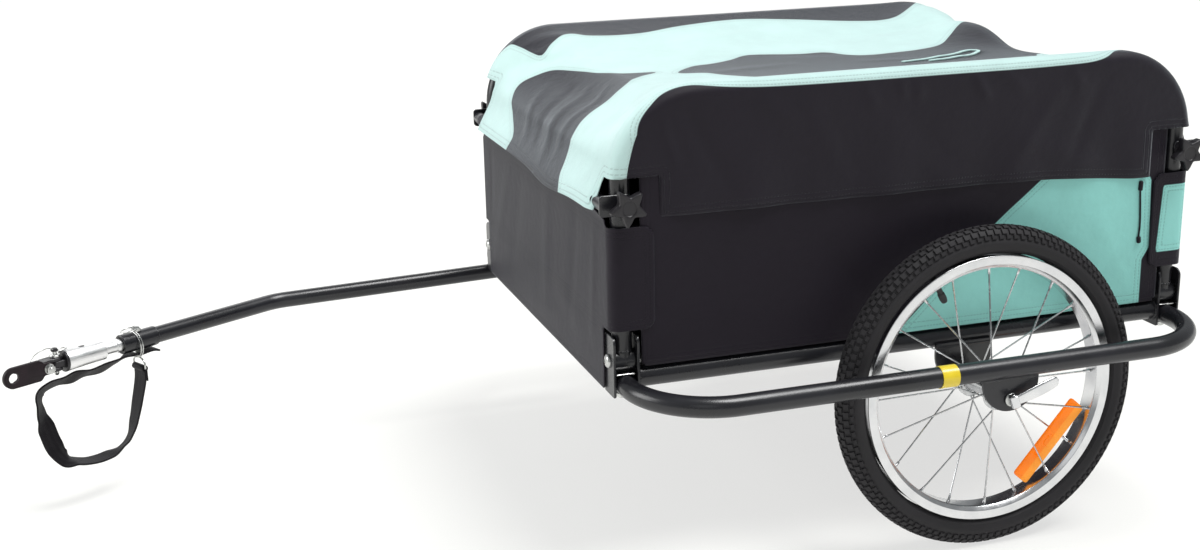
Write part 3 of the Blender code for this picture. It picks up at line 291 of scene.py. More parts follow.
def piece(name, shapes, finish, slot, body, *nodes, sharp=35):
    mesh = mesh_of(name, shapes)
    bm = bmesh.new()
    bm.from_mesh(mesh)
    bmesh.ops.remove_doubles(bm, verts=bm.verts, dist=2e-6)
    bmesh.ops.recalc_face_normals(bm, faces=bm.faces)
    bm.to_mesh(mesh)
    bm.free()
    mesh.shade_smooth()
    mesh.set_sharp_from_angle(angle=np.radians(sharp))
    mesh.materials.append(finish)
    made = put(name, mesh)
    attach(made, body)
    if nodes:
        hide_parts(*nodes)
    return made


def half_disc(radius, top):
    """Outline of a plate with a flat top and a half-round lower end, about the round's centre."""
    square_end = filleted([(-radius, -0.001), (-radius, top), (radius, top), (radius, -0.001)], 0.003, 4, closed=False)
    return np.concatenate([arc(radius, 0, -180, 25), square_end[1:-1]])


# Satin black powder coat: a 1.5 mm orange peel, a duller bloom in places and a broad highlight
powder = clouded("satin black powder coated steel", (9.0, 5.0, 0.6), ("#19191c", "#242429"), (0.22, 0.34),
                 (0.16, 0.0004), ("TexNoise", 700.0, 2.0), ends=(0.35, 0.7), roughness=0.34,
                 specular_ior_level=0.55)

shapes = []
for _, side in SIDES:
    shapes.append(swept([(x, side * RAIL_Y, RAIL_Z) for x in RAIL_ENDS], circle(RAIL_R, 36)))
    disc_z = AXLE_Z - 0.012 + 0.038
    plate_y = side * (WHEEL_Y - AXLE_PLATE_AT)
    shapes.append(plate(half_disc(0.038, RAIL_Z - 0.0042 - disc_z), AXLE_PLATE, (AXLE_X, plate_y, disc_z)))
    shapes.append(swept([(AXLE_X - 0.036, plate_y, RAIL_Z - 0.0085), (AXLE_X + 0.036, plate_y, RAIL_Z - 0.0085)],
                        circle(0.0028, 12)))
for x in (RAIL_ENDS[0] + CROSS_INSET, RAIL_ENDS[1] - CROSS_INSET):
    shapes.append(swept([(x, -RAIL_Y, RAIL_Z), (x, RAIL_Y, RAIL_Z)], circle(CROSS_R, 32)))
    shapes += [bead((x, side * (RAIL_Y - RAIL_R + 0.0035), RAIL_Z), Y, CROSS_R) for _, side in SIDES]
piece("welded_base_frame", shapes, powder, "frame_paint", "frame", "base_frame")

# Corner brackets: 3 mm steel channels standing on end at the four corners, open to the outside
# above the guard's end so that the leg can fold inward. Pressed, welded to the rails, coated.
CHEEK, CHEEK_AT, BRACKET_Y = 0.003, 0.0141, 0.017
PIVOT_Z = RAIL_Z + 0.021
BRACKET_LOW, BRACKET_HIGH = RAIL_Z - 0.019, PIVOT_Z + 0.031
GUARD_Z, GUARD_R = RAIL_Z - 0.006, 0.012
CORNERS = [(f"{end}_{name}", leg_x, outward, side) for end, leg_x, outward in ENDS for name, side in SIDES]
cheek_z = (BRACKET_LOW + BRACKET_HIGH) / 2
tall = (BRACKET_HIGH - BRACKET_LOW) / 2
web_top = GUARD_Z + GUARD_R + 0.0003
for corner, leg_x, outward, side in CORNERS:
    outline = slab(BRACKET_Y, tall, (0.003, 0.003, 0.009, 0.009))
    shapes = [plate(outline, CHEEK, (leg_x + k * CHEEK_AT, side * LEG_Y, cheek_z), Y, Z, 0.0006) for k in (-1, 1)]
    inner, outer = side * (LEG_Y - BRACKET_Y + CHEEK / 2), side * (LEG_Y - 0.004)
    plan = filleted([(leg_x - CHEEK_AT, outer, 0), (leg_x - CHEEK_AT, inner, 0), (leg_x + CHEEK_AT, inner, 0),
                     (leg_x + CHEEK_AT, outer, 0)], 0.0035, 6, closed=False)
    web = slab(0.00145, (web_top - BRACKET_LOW) / 2 - 0.0004, 0.0005, 3)
    shapes += [swept(plan + (0, 0, (web_top + BRACKET_LOW) / 2), web),
               bead((leg_x - outward * (CHEEK_AT + 0.0018), side * RAIL_Y, RAIL_Z), X, RAIL_R, 0.0018, 26)]
    piece(f"corner_channel_{corner}", shapes, powder, "frame_paint", "frame", f"corner_bracket_{corner}")

# Wheel guards: 24 mm steel tube bent round the outside of each wheel, with the outer axle plate
# welded under it and a plain yellow vinyl band wrapped round it.
GUARD_Y, GUARD_BEND = 0.386, 0.095
BAND_X, BAND_LONG = AXLE_X + 0.08, 0.021
# Yellow vinyl film: even and glossy, a little orange peel from the tube under it
vinyl = clouded("yellow vinyl film", (60.0, 3.0), ("#e3c71f", "#efd534"), relief=(0.1, 0.0003), roughness=0.28,
                coat_weight=0.4, coat_roughness=0.15)
for name, side in SIDES:
    end_y = LEG_Y - BRACKET_Y + CHEEK + 0.0003
    plan = filleted([(FRONT_X, side * end_y, GUARD_Z), (FRONT_X, side * GUARD_Y, GUARD_Z),
                     (REAR_X, side * GUARD_Y, GUARD_Z), (REAR_X, side * end_y, GUARD_Z)],
                    GUARD_BEND, 26, closed=False)
    plate_y = side * (WHEEL_Y + AXLE_PLATE_AT)
    disc_z = AXLE_Z - 0.012 + 0.036
    shapes = [swept(plan, circle(GUARD_R, 36)),
              plate(half_disc(0.036, GUARD_Z - 0.006 - disc_z), AXLE_PLATE, (AXLE_X, plate_y, disc_z)),
              swept([(AXLE_X - 0.034, plate_y, GUARD_Z - 0.0105), (AXLE_X + 0.034, plate_y, GUARD_Z - 0.0105)],
                    circle(0.0028, 12))]
    piece(f"wheel_guard_{name}", shapes, powder, "frame_paint", "frame", f"guard_{name}")
    half, outer = BAND_LONG / 2, GUARD_R + 0.0009
    band = turned([(GUARD_R, -half), (outer, -half), (outer, half), (GUARD_R, half)],
                  (BAND_X, side * GUARD_Y, GUARD_Z), X, 40, loop=True)
    piece(f"yellow_band_{name}", [band], vinyl, "yellow_film", "frame", f"guard_band_{name}")

# Bolts of the corners: upright M8 guard bolts under each tube end in a nut plate, and lengthwise
# M8 pivot bolts with domed heads outside and lock nuts inside. Cold headed, zinc plated.
HEAD, ACROSS, DOME_R = 0.0048, 0.013, 0.0078
FACE = CHEEK_AT + CHEEK / 2 + 0.0003
# Bright zinc plate: cool metal, faint cloudiness from the passivation
zinc = clouded("bright zinc plated steel", (160.0, 4.0), ("#b9bab8", "#d3d4d2"), (0.2, 0.36), (0.08, 0.0002),
               metallic=1.0, roughness=0.27)


def hex_nut(across, height, centre, axis, steps=48):
    """Hexagon whose corners are turned off at 30 degrees: radius = half across / cos(angle from the
    nearest flat), and the height falls with what the radius has over the flat's."""
    side = across_from(axis)
    a = 2 * np.pi * np.arange(steps) / steps
    radius = across / 2 / np.cos((a + np.pi / 6) % (np.pi / 3) - np.pi / 6)
    drop = 0.577 * (radius - across / 2)
    rows = [(0 * a, 0 * a), (0 * a + 0.95 * across / 2, 0 * a), (radius, drop + 0.0002),
            (radius, height - drop - 0.0002), (0 * a + 0.95 * across / 2, 0 * a + height), (0 * a, 0 * a + height)]
    grid = np.stack([centre + h[:, None] * axis + r[:, None] * (np.cos(a)[:, None] * side
                     + np.sin(a)[:, None] * np.cross(axis, side)) for r, h in rows])
    return skin(grid, around=True)


def domed(radius, height, steps=8):
    """Profile of a button head from its crown to its rim: an ellipse with a small flat rim."""
    a = np.linspace(0, np.pi / 2, steps + 1)
    return [(radius * np.sin(b), height * (0.25 + 0.75 * np.cos(b))) for b in a] + [(radius, 0.0)]


for corner, leg_x, outward, side in CORNERS:
    foot = np.array((leg_x, side * LEG_Y, GUARD_Z - GUARD_R - 0.0003))
    shapes = [plate(slab(0.012, 0.0135, 0.002, 4), 0.0016, foot + (2 * GUARD_R + 0.0014) * Z, X, Y, 0.0003),
              hex_nut(ACROSS, HEAD, foot, -Z), turned(rod(0.0078, 0.0002, -0.0011), foot, Z),
              turned(rod(0.004, 0, 0.026), foot, Z, 20)]
    piece(f"guard_clamp_bolt_{corner}", shapes, zinc, "zinc_steel", "frame", f"guard_bolt_{corner}")
    out, at = outward * X, np.array((leg_x, side * LEG_Y, PIVOT_Z))
    head = [(0, HEAD - 0.0024), (0.0022, HEAD - 0.0024), (0.0026, HEAD - 0.0001)]
    head += [pair for pair in domed(DOME_R, HEAD) if pair[0] > 0.0027] + [(0, 0)]
    shank = [(0, 0), (0.004, 0), (0.004, 2 * FACE + 0.0053), (0.0034, 2 * FACE + 0.0059), (0, 2 * FACE + 0.0059)]
    shapes = [turned(head, at + FACE * out, out, 40), turned(shank, at + FACE * out, -out, 20),
              turned(rod(0.0082, 0, 0.0008), at - (FACE - 0.0003) * out, -out, 32),
              hex_nut(ACROSS, HEAD - 0.0006, at - (FACE + 0.0004) * out, -out)]
    piece(f"leg_pivot_bolt_{corner}", shapes, zinc, "zinc_steel", "frame", f"pivot_bolt_{corner}")

# Folding hoops: 23 mm steel tube bent to an upside down U, with a cross sleeve at each foot for
# the pivot bolt. Bent, welded, powder coated.
HOOP_R, HOOP_BEND, HOOP_TOP = 0.0115, 0.09, PIVOT_Z + 0.293
for name, side in SIDES:
    y = side * LEG_Y
    plan = filleted([(FRONT_X, y, PIVOT_Z), (FRONT_X, y, HOOP_TOP), (REAR_X, y, HOOP_TOP), (REAR_X, y, PIVOT_Z)],
                    HOOP_BEND, 26, closed=False)
    shapes = [swept(plan, circle(HOOP_R, 32), Y)]
    for _, leg_x, _ in ENDS:
        sleeve = [(leg_x - 0.0122, y, PIVOT_Z), (leg_x + 0.0122, y, PIVOT_Z)]
        shapes.append(swept(sleeve, circle(0.0125, 32)))
        shapes.append(bead((leg_x, y, PIVOT_Z + 0.0118), Z, HOOP_R - 0.0008, 0.0016, 20))
    piece(f"folding_hoop_{name}", shapes, powder, "frame_paint", f"folding_hoop_{name}", f"hoop_{name}")

# Cross bars: 16 mm tube through the hem of each end wall, flattened to a tab on each leg, where the
# knob's stud clamps it. Pressed and powder coated.
BAR_Z, BAR_OUT, BAR_R, TAB, TAB_Y = HOOP_TOP - 0.111, 0.02, 0.008, 0.003, LEG_Y + 0.012
for end, leg_x, outward in ENDS:
    bar_x = leg_x + outward * BAR_OUT
    shapes = [swept([(bar_x, -TAB_Y - 0.0015, BAR_Z), (bar_x, TAB_Y + 0.0015, BAR_Z)], circle(BAR_R, 28))]
    tab = slab(outward * (BAR_R + 0.01), 0.012, 0.005)
    shapes += [plate(tab, TAB, (leg_x + outward * 0.01, side * (TAB_Y + TAB / 2), BAR_Z)) for _, side in SIDES]
    piece(f"{end}_cross_bar_tube", shapes, powder, "frame_paint", "frame", f"{end}_cross_bar")

# Star knobs: five point hand knobs that clamp the cross bars to the legs, moulded in glass filled
# nylon over a steel stud, with a dished face.
KNOB_AT, KNOB_BOSS, KNOB_THICK, KNOB_TIP, KNOB_WAIST = LEG_Y + 0.0153, 0.0095, 0.011, 0.0215, 0.0125
# Glass filled nylon: matt black with a fine spark-eroded grain of about 0.6 mm, drawn at 1 mm
nylon = clouded("moulded black nylon", (70.0, 4.0), ("#1d1b1e", "#28262a"), (0.3, 0.46), (0.25, 0.0002),
                ("TexVoronoi", 1000.0), roughness=0.5, specular_ior_level=0.45)


def star(side, centre, steps=120):
    """Knob head: radius = waist + (tip - waist) * min(1 - |sin 2.5a|, blunt) / blunt, scaled down and
    rounded towards both faces, with a round dish sunk in the outer face."""
    a = 2 * np.pi * np.arange(steps) / steps
    blunt = 0.88
    point = np.minimum(1 - np.abs(np.sin(2.5 * (a - np.radians(60)))), blunt) / blunt
    reach = KNOB_WAIST + (KNOB_TIP - KNOB_WAIST) * point
    b = np.linspace(0, np.pi / 2, 7)
    thick, soft = KNOB_THICK, 0.0026
    rows = [(0.0, 0.0, 0.0), (0.45, 0.0, 0.0)]
    rows += [(1, soft * (np.sin(t) - 1), soft * (1 - np.cos(t))) for t in b]
    rows += [(1, soft * (np.cos(t) - 1), thick - soft * (1 - np.sin(t))) for t in b]
    grid = [np.stack([k * reach + inset, 0 * a + high], -1) for k, inset, high in rows]
    for radius, high in ((0.0092, thick), (0.0086, thick - 0.0002), (0.0078, thick - 0.0012), (0, thick - 0.0014)):
        grid.append(np.stack([0 * a + radius, 0 * a + high], -1))
    grid = np.stack(grid)
    around = np.stack([np.cos(a), 0 * a, np.sin(a)], -1)
    return skin(np.asarray(centre) + grid[..., :1] * around + side * grid[..., 1:] * Y, around=True)


for corner, leg_x, outward, side in CORNERS:
    at = np.array((leg_x, side * KNOB_AT, BAR_Z))
    top = KNOB_BOSS + 0.001
    boss = [(0, 0), (0.0088, 0), (0.0088, 0.0014), (0.0074, 0.0022), (0.0068, top), (0, top)]
    stud = [(0, 0), (0.003, 0), (0.003, 0.0145), (0.0024, 0.0152), (0, 0.0152)]
    shapes = [star(side, at + side * KNOB_BOSS * Y), turned(boss, at, side * Y, 32), turned(stud, at, -side * Y, 20)]
    piece(f"star_hand_knob_{corner}", shapes, nylon, "black_plastic", f"knob_{corner}", f"star_knob_{corner}")

# Cloth: 600 denier polyester oxford with a polyurethane coat, cut in mint and black panels that are
# lapped and sewn with two rows of thread, with every free edge turned in and stitched.
CLOTH, THREADS, STITCH = 0.0012, 0.0018, 0.0042
# The second mint is the first painted paler and greyer for the cover: painted light, standing in for the strong light
# on its top.
MINT, PAINTED_LIT_MINT, BLACK = hexa("#9ce2da"), hexa("#c6e4e0"), hexa("#1c1620")


def woven(name, light, dark, sheen=0.12):
    """Cloth finish. The weave is sin(u) * sin(v) on the sheet's own lengths, real thread spacing
    0.5 mm drawn at 0.9 mm so that it shows; light or dark by the sign of the sheet's distance from
    the panel's edge; stitches where that or the hem's distance is a row's, dashed along the row."""
    made, tree, shader = surface_of(name, roughness=0.55, specular_ior_level=0.2, sheen_weight=sheen,
                                    sheen_roughness=0.4, sheen_tint=(0.86, 0.95, 1.0, 1.0))
    lengths = add(tree, "UVMap", uv_map="lengths")
    place = add(tree, "TexCoord", out="Object")
    panel, hem, run = (add(tree, "Attribute", attribute_name=mark, out="Fac") for mark in ("panel", "hem", "run"))
    waves = []
    for distance, apart in ((add(tree, "SeparateXYZ", {0: lengths}, out=0), THREADS),
                            (add(tree, "SeparateXYZ", {0: lengths}, out=1), THREADS), (run, STITCH)):
        turns = add(tree, "Math", {0: distance, 1: 2 * np.pi / apart}, operation="MULTIPLY")
        waves.append(add(tree, "Math", {0: turns}, operation="SINE"))
    weave = add(tree, "Math", {0: waves[0], 1: waves[1]}, operation="MULTIPLY")
    rows = []
    for distance, middle, half in ((panel, 0.005, 0.0025), (hem, 0.008, 0.003)):
        from_middle = add(tree, "Math", {0: distance, 1: middle}, operation="SUBTRACT")
        either = add(tree, "Math", {0: from_middle}, operation="ABSOLUTE")
        off = add(tree, "Math", {0: either, 1: half}, operation="SUBTRACT")
        rows.append(add(tree, "Math", {0: off}, operation="ABSOLUTE"))
    nearest = add(tree, "Math", {0: rows[0], 1: rows[1]}, operation="MINIMUM")
    dashed = add(tree, "MapRange", {0: waves[2], 1: -0.8, 2: -0.4})
    near = add(tree, "MapRange", {0: nearest, 1: 0.0009, 2: 0.0005})
    thread = add(tree, "Math", {0: near, 1: dashed}, operation="MULTIPLY")
    groove = add(tree, "MapRange", {0: nearest, 1: 0.0, 2: 0.0022})
    pucker = add(tree, "TexNoise", {"Vector": place, "Scale": 95.0, "Detail": 2.0})
    slack = add(tree, "Math", {0: groove, 1: pucker}, operation="MULTIPLY")
    lap = add(tree, "MapRange", {0: panel, 1: -0.0006, 2: 0.0006})
    fold = add(tree, "Math", {0: slack, 1: lap}, operation="ADD")
    raised = add(tree, "Math", {0: fold, 1: thread}, operation="ADD")
    grain = add(tree, "Bump", {"Height": raised, "Strength": 0.55, "Distance": 0.0008})
    threads = add(tree, "Bump", {"Height": weave, "Strength": 0.3, "Distance": 0.00025, "Normal": grain})
    mottle = add(tree, "TexNoise", {"Vector": place, "Scale": 14.0, "Detail": 6.0, "Roughness": 0.65})
    shade = add(tree, "MapRange", {0: mottle, 1: 0.3, 2: 0.7, 3: 0.93, 4: 1.05})
    stitched = add(tree, "MapRange", {0: thread, 1: 0.0, 2: 1.0, 3: 1.0, 4: 0.8})
    crossing = add(tree, "MapRange", {0: weave, 1: -1.0, 2: 1.0, 3: 0.95, 4: 1.05})
    sewn = add(tree, "Math", {0: shade, 1: stitched}, operation="MULTIPLY")
    level = add(tree, "Math", {0: sewn, 1: crossing}, operation="MULTIPLY")
    both = add(tree, "Mix", {0: lap, 6: dark, 7: light}, data_type="RGBA", out=2)
    scaled = add(tree, "VectorMath", {0: both, 3: level}, operation="SCALE")
    tree.links.new(scaled, shader.inputs["Base Color"])
    tree.links.new(threads, shader.inputs["Normal"])
    return made


def to_outline(points, outline):
    """Distance of each point (..., 2) from a closed line, positive inside it, and the length along
    the line of the nearest place on it."""
    shape = points.shape[:-1]
    points = points.reshape(-1, 2)
    best, run = np.full(len(points), 9.0), np.zeros(len(points))
    inside, start = np.zeros(len(points), bool), 0.0
    for p, q in zip(outline, np.roll(outline, -1, 0)):
        step = q - p
        share = np.clip((points - p) @ step / (step @ step), 0, 1)
        away = np.linalg.norm(points - p - share[:, None] * step, axis=1)
        run = np.where(away < best, start + share * np.linalg.norm(step), run)
        best = np.minimum(best, away)
        crosses = (p[1] > points[:, 1]) != (q[1] > points[:, 1])
        with np.errstate(divide="ignore", invalid="ignore"):
            meets = p[0] + (points[:, 1] - p[1]) / step[1] * step[0]
        inside ^= crosses & (points[:, 0] < meets)
        start += np.linalg.norm(step)
    return np.where(inside, best, -best).reshape(shape), run.reshape(shape)


def flowing(points, per_span=6):
    """Closed Catmull-Rom curve through points given in millimetres."""
    p = np.asarray(points, float) / 1000
    t = (np.arange(per_span) / per_span)[None, :, None]
    a, b, c, d = (np.roll(p, k, 0)[:, None] for k in (1, 0, -1, -2))
    curve = 0.5 * (2 * b + (c - a) * t + (2 * a - 5 * b + 4 * c - d) * t ** 2 + (3 * b - a - 3 * c + d) * t ** 3)
    return curve.reshape(-1, p.shape[1])


def inside_slab(u, v, half_u, half_v, corner):
    """Distance inside a rectangle with round corners about (0, 0), negative outside it."""
    q = np.stack([np.abs(u) - half_u + corner, np.abs(v) - half_v + corner])
    return corner - np.linalg.norm(np.maximum(q, 0), axis=0) - np.minimum(q.max(0), 0)


def crease(u, v, folds):
    """Sum of soft folds on a sheet: for each (u0, v0, u1, v1, width, height) in millimetres, height *
    exp(-(distance from the line / width)^2), fading to nothing at the fold's two ends."""
    total = 0 * u
    for u0, v0, u1, v1, width, height in np.asarray(folds, float) / 1000:
        run = np.hypot(u1 - u0, v1 - v0)
        along = ((u - u0) * (u1 - u0) + (v - v0) * (v1 - v0)) / run ** 2
        off = ((u - u0) * (v1 - v0) - (v - v0) * (u1 - u0)) / run
        total = total + height * np.exp(-(off / width) ** 2) * np.sin(np.pi * np.clip(along, 0, 1)) ** 0.8
    return total


def cloth(name, points, lengths, panel, run, hem, keep, finish, body, node, thick=CLOTH):
    """Sheet from a grid of points, with its unrolled lengths and distances stored on it. keep is how
    far a point lies inside the cut: one just outside moves along the grid to the edge, and what
    lies beyond goes. Returns the object and the cloth's area."""
    stack = np.concatenate([points, lengths, np.stack([panel, run, hem], -1)], -1)
    closest, moved = np.full(keep.shape, np.inf), stack.copy()
    for axis in (0, 1):
        for step in (1, -1):
            other = np.roll(keep, step, axis)
            last = 0 if step == 1 else -1
            other[(last, slice(None)) if axis == 0 else (slice(None), last)] = -1
            share = np.where((keep < 0) & (other > 0), keep / np.where(keep == other, -1, keep - other), np.inf)
            use = share < closest
            moved[use] = (stack + (np.roll(stack, step, axis) - stack) * np.minimum(share, 1)[..., None])[use]
            closest = np.where(use, share, closest)
    values, quads = skin(moved)
    stays = ((keep >= 0) | np.isfinite(closest)).ravel()
    quads = quads[stays[quads].all(1) & (keep >= 0).ravel()[quads].any(1)]
    used, quads = np.unique(quads, return_inverse=True)
    values, quads = values[used], quads.reshape(-1, 4)
    p = values[:, :3][quads]
    normal = np.cross(p[:, 2] - p[:, 0], p[:, 3] - p[:, 1]) / 2
    if (normal * (p.mean(1) - (AXLE_X + 0.0695, 0, 0.3))).sum() < 0:
        quads = quads[:, ::-1]
    mesh = mesh_of(name, [(values[:, :3], quads)])
    layer = mesh.uv_layers.new(name="lengths")
    layer.data.foreach_set("uv", values[:, 3:5][quads.ravel()].astype(np.float32).ravel())
    for k, mark in enumerate(("panel", "run", "hem")):
        mesh.attributes.new(mark, "FLOAT", "POINT").data.foreach_set("value", values[:, 5 + k].astype(np.float32))
    mesh.shade_smooth()
    mesh.materials.append(finish)
    made = put(name, mesh)
    body_of_cloth = made.modifiers.new("thickness", "SOLIDIFY")
    body_of_cloth.thickness = thick
    body_of_cloth.offset = -1
    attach(made, body)
    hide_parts(node)
    return made, float(np.linalg.norm(normal, axis=1).sum())


# Floor panel: a stiff board in black cloth that lies on both rails, its edges bound and stitched.
FLOOR_TOP, FLOOR_THICK = RAIL_Z + RAIL_R + 0.0053, 0.0046
black_oxford = woven("black coated oxford cloth", BLACK, BLACK)
mint_oxford = woven("mint and black coated oxford cloth", MINT, BLACK)
# The cover's cloth: the same mint with painted top light, and more sheen.
painted_lit_cover_oxford = woven("mint painted as sunlit and black oxford cloth", PAINTED_LIT_MINT, BLACK, 0.45)
reach_x, reach_y = (RAIL_ENDS[1] - RAIL_ENDS[0]) / 2 - 0.0058, RAIL_Y
u, v = np.meshgrid(np.linspace(-reach_x, reach_x, 140), np.linspace(-reach_y, reach_y, 110), indexing="ij")
edge = np.minimum(reach_x - np.abs(u), reach_y - np.abs(v))
lift = -0.0012 * (1 - np.clip(edge / 0.006, 0, 1)) ** 2 + crease(u, v, [
    (-180, -120, 60, -60, 22, 0.5), (-60, 90, 150, 150, 26, 0.6), (20, -190, 210, -60, 20, 0.4)])
points = np.stack([u + (RAIL_ENDS[0] + RAIL_ENDS[1]) / 2, v, FLOOR_TOP + lift], -1)
cloth("covered_floor_board", points, np.stack([u, v], -1), 0 * u + 1, u + v, edge, 0 * u + 1, black_oxford,
      "frame", "floor_panel", FLOOR_THICK)

# End walls: black oxford cloth, hemmed round the cross bar at the top, wrapped round each leg into a
# short flap that fastens on the side. The rear wall's flaps are mint, bound in black.
WALL_OUT, WALL_CORNER, WRAP_FROM, WRAP_TO = 0.0179, 0.014, 0.2724, 0.2944
WALL_LOW, FLAP_LOW, FLAP_HIGH, FLAP_LONG = RAIL_Z - 0.016, RAIL_Z + 0.059, BAR_Z - 0.026, 0.3324
SLEEVE_R, SLEEVE_HALF = 0.0094, 0.256
rise = np.concatenate([np.stack([np.full(56, WALL_OUT), np.linspace(WALL_LOW, BAR_Z - 0.019, 56)], -1),
                       arc(SLEEVE_R, -50, 235, 24) + (BAR_OUT, BAR_Z),
                       [(WALL_OUT - CLOTH - 0.0006, BAR_Z - 0.018)]])
height = WALL_LOW + np.concatenate([[0], np.cumsum(np.linalg.norm(np.diff(rise, axis=0), axis=1))])
half = np.concatenate([np.linspace(0, WRAP_FROM, 64), np.linspace(0.2745, WRAP_TO, 10),
                       np.linspace(0.2975, FLAP_LONG, 13)])
c, t = np.meshgrid(np.concatenate([-half[:0:-1], half]), np.arange(len(rise)), indexing="ij")
side = np.where(c < 0, -1, 1)
turned_by = np.clip((np.abs(c) - WRAP_FROM) / WALL_CORNER, 0, np.pi / 2)
past = np.maximum(np.abs(c) - WRAP_TO, 0)
v = height[t]
for end, leg_x, outward in ENDS:
    slack = crease(c, v, [
        (-235, 250, -120, 420, 16, 0.9), (-150, 240, -60, 430, 20, -0.8), (20, 235, 50, 430, 18, 1.0),
        (120, 245, 170, 430, 15, -0.9), (215, 260, 235, 430, 10, 0.8), (-60, 235, 100, 262, 14, 0.8),
        (-240, 300, -225, 425, 9, -0.7), (60, 300, 190, 268, 18, 0.7)])
    slack = slack * np.clip((0.26 - np.abs(c)) / 0.02, 0, 1) * np.clip((BAR_Z - 0.02 - v) / 0.01, 0, 1)
    plan_out = np.where(np.abs(c) < WRAP_FROM, 0.0, -WALL_CORNER * (1 - np.cos(turned_by)) - past) + slack
    plan_y = np.where(np.abs(c) < WRAP_FROM, np.abs(c), WRAP_FROM + WALL_CORNER * np.sin(turned_by))
    points = np.stack([leg_x + outward * (rise[t, 0] + plan_out), side * plan_y, rise[t, 1]], -1)
    parts = [(WALL_LOW, FLAP_LOW + 0.004, 0.259), (FLAP_LOW, FLAP_HIGH, FLAP_LONG),
             (FLAP_HIGH - 0.004, BAR_Z - 0.0095, 0.27), (BAR_Z - 0.012, height[-1], SLEEVE_HALF)]
    inside = []
    for low, high, wide in parts:
        soft = 0.012 if wide == FLAP_LONG else 0.002
        inside.append(inside_slab(c, v - (low + high) / 2, wide, (high - low) / 2, soft))
    keep = np.max(inside, axis=0)
    if end == "front":
        panel, run = 0 * c + 1, c + v
    else:
        near_flap = np.stack([np.abs(c), v], -1)
        panel, run = to_outline(near_flap, filleted([(0.28, 0.316), (0.323, 0.316), (0.3185, 0.4),
                                                     (0.28, 0.4)], 0.002, 3))
    wall, area = cloth(f"{end}_end_wall", points, np.stack([c, v], -1), panel, run, keep, keep,
                       black_oxford if end == "front" else mint_oxford, "frame", f"{end}_wall")

# Side panels: one sheet of oxford cloth on the outside of each hoop, mint towards the rear, black
# towards the front along a slanted lapped seam, sewn to a sleeve on the hoop.
PANEL_Y = 0.2838
low_x, high_x = REAR_X + 0.0186, FRONT_X - 0.0186
PANEL_LOW = RAIL_Z + 0.0145
u, v = np.meshgrid(np.linspace(low_x, high_x, 190), np.linspace(PANEL_LOW, HOOP_TOP, 84), indexing="ij")
middle, reach = (low_x + high_x) / 2, (high_x - low_x) / 2
corner = np.where(v > (PANEL_LOW + HOOP_TOP) / 2, 0.0714, 0.006)
keep = inside_slab(u - middle, v - (PANEL_LOW + HOOP_TOP) / 2, reach, (HOOP_TOP - PANEL_LOW) / 2, corner)
# Above about 410 to 422 mm the mint part stops 236 mm behind the axle, so the strip of panel that the cover's rear
# notch shows is black: painted shade inside the notch.
mint_part = filleted([(-246, 242), (97.7, 242), (98, 245.6), (-36.5, 372.5), (-94.6, 419), (-140, 455), (-150, 556),
                      (-236, 560), (-236, 422), (-251, 410), (-255, 323), (-245.5, 308)], 2.0, 3) / 1000 + (AXLE_X, 0)
panel, run = to_outline(np.stack([u, v], -1), mint_part)
slack = crease(u, v, [
    (-560, 300, -420, 410, 16, -1.0), (-300, 262, -180, 400, 14, -1.1), (-90, 262, -40, 400, 15, -0.9),
    (-160, 300, -20, 330, 18, -0.8), (-620, 270, -560, 400, 12, 0.8), (-480, 280, -330, 262, 16, 0.8),
    (-240, 380, -60, 400, 14, 0.6)])
slack = slack * np.clip(keep / 0.03, 0, 1) - 0.0016 * np.clip(keep / 0.12, 0, 1) ** 2
for name, side in SIDES:
    points = np.stack([u, side * (PANEL_Y + slack), v], -1)
    sheet, area = cloth(f"side_cloth_{name}", points, np.stack([u, v], -1), panel, run, keep, keep, mint_oxford,
                        f"folding_hoop_{name}", f"side_panel_{name}")
    cord = [(AXLE_X + x / 1000, side * (PANEL_Y + 0.0012), z / 1000) for x, z in
            [(-236, 408), (-235.6, 396), (-237, 380), (-238.4, 362), (-238.8, 350), (-238, 338), (-239, 330)]]
    knots = [swept(cord[a:a + 2], circle(0.0027, 14), Y, 0.001) for a in (0, 5)]
    piece(f"side_pocket_cord_{name}", [swept(cord, circle(0.0011, 10), Y)] + knots, black_oxford, "black_cloth",
          f"folding_hoop_{name}")

# Cover: oxford cloth stretched over both hoops, mint with black panels, notched at the corners for
# the knobs. It hangs 150 mm down the sides, sags between the hoops and hollows towards its ends.
RIDGE_R, COVER_EDGE, COVER_Y = 0.1048, 0.012, 0.2863
COVER_SAG, COVER_SLOPE, BEND_AT = 0.03, 0.022, np.radians(78)
FLARE, FLARE_LONG = 0.0058, 0.062
FROM_97 = np.radians(97) * RIDGE_R
PAST_BEND = np.radians(19) * RIDGE_R
SPAN = FRONT_X - REAR_X - 2 * HOOP_BEND
RIDGE_LONG = 2 * FROM_97 + SPAN
HEM_Z, NOTCH_TOP, FRONT_HEM = BAR_Z - 0.023, BAR_Z + 0.029, 0.0265
FLAT_HALF = COVER_Y - COVER_EDGE
DROP_FROM = FLAT_HALF + COVER_EDGE * np.pi / 2
HALF_WIDE = DROP_FROM + 0.133
s = np.linspace(-FRONT_HEM, RIDGE_LONG + FRONT_HEM, 214)
w = np.concatenate([np.linspace(0, 0.258, 54), np.linspace(0.2615, 0.296, 15), np.linspace(0.3, HALF_WIDE, 27)])
s, w = np.meshgrid(s, np.concatenate([-w[:0:-1], w]), indexing="ij")
t = np.minimum(s, RIDGE_LONG - s)
outward = np.where(s < RIDGE_LONG / 2, 1.0, -1.0)
a = np.clip(np.radians(97) - t / RIDGE_R, 0, BEND_AT)
d = np.maximum(PAST_BEND - t, 0)
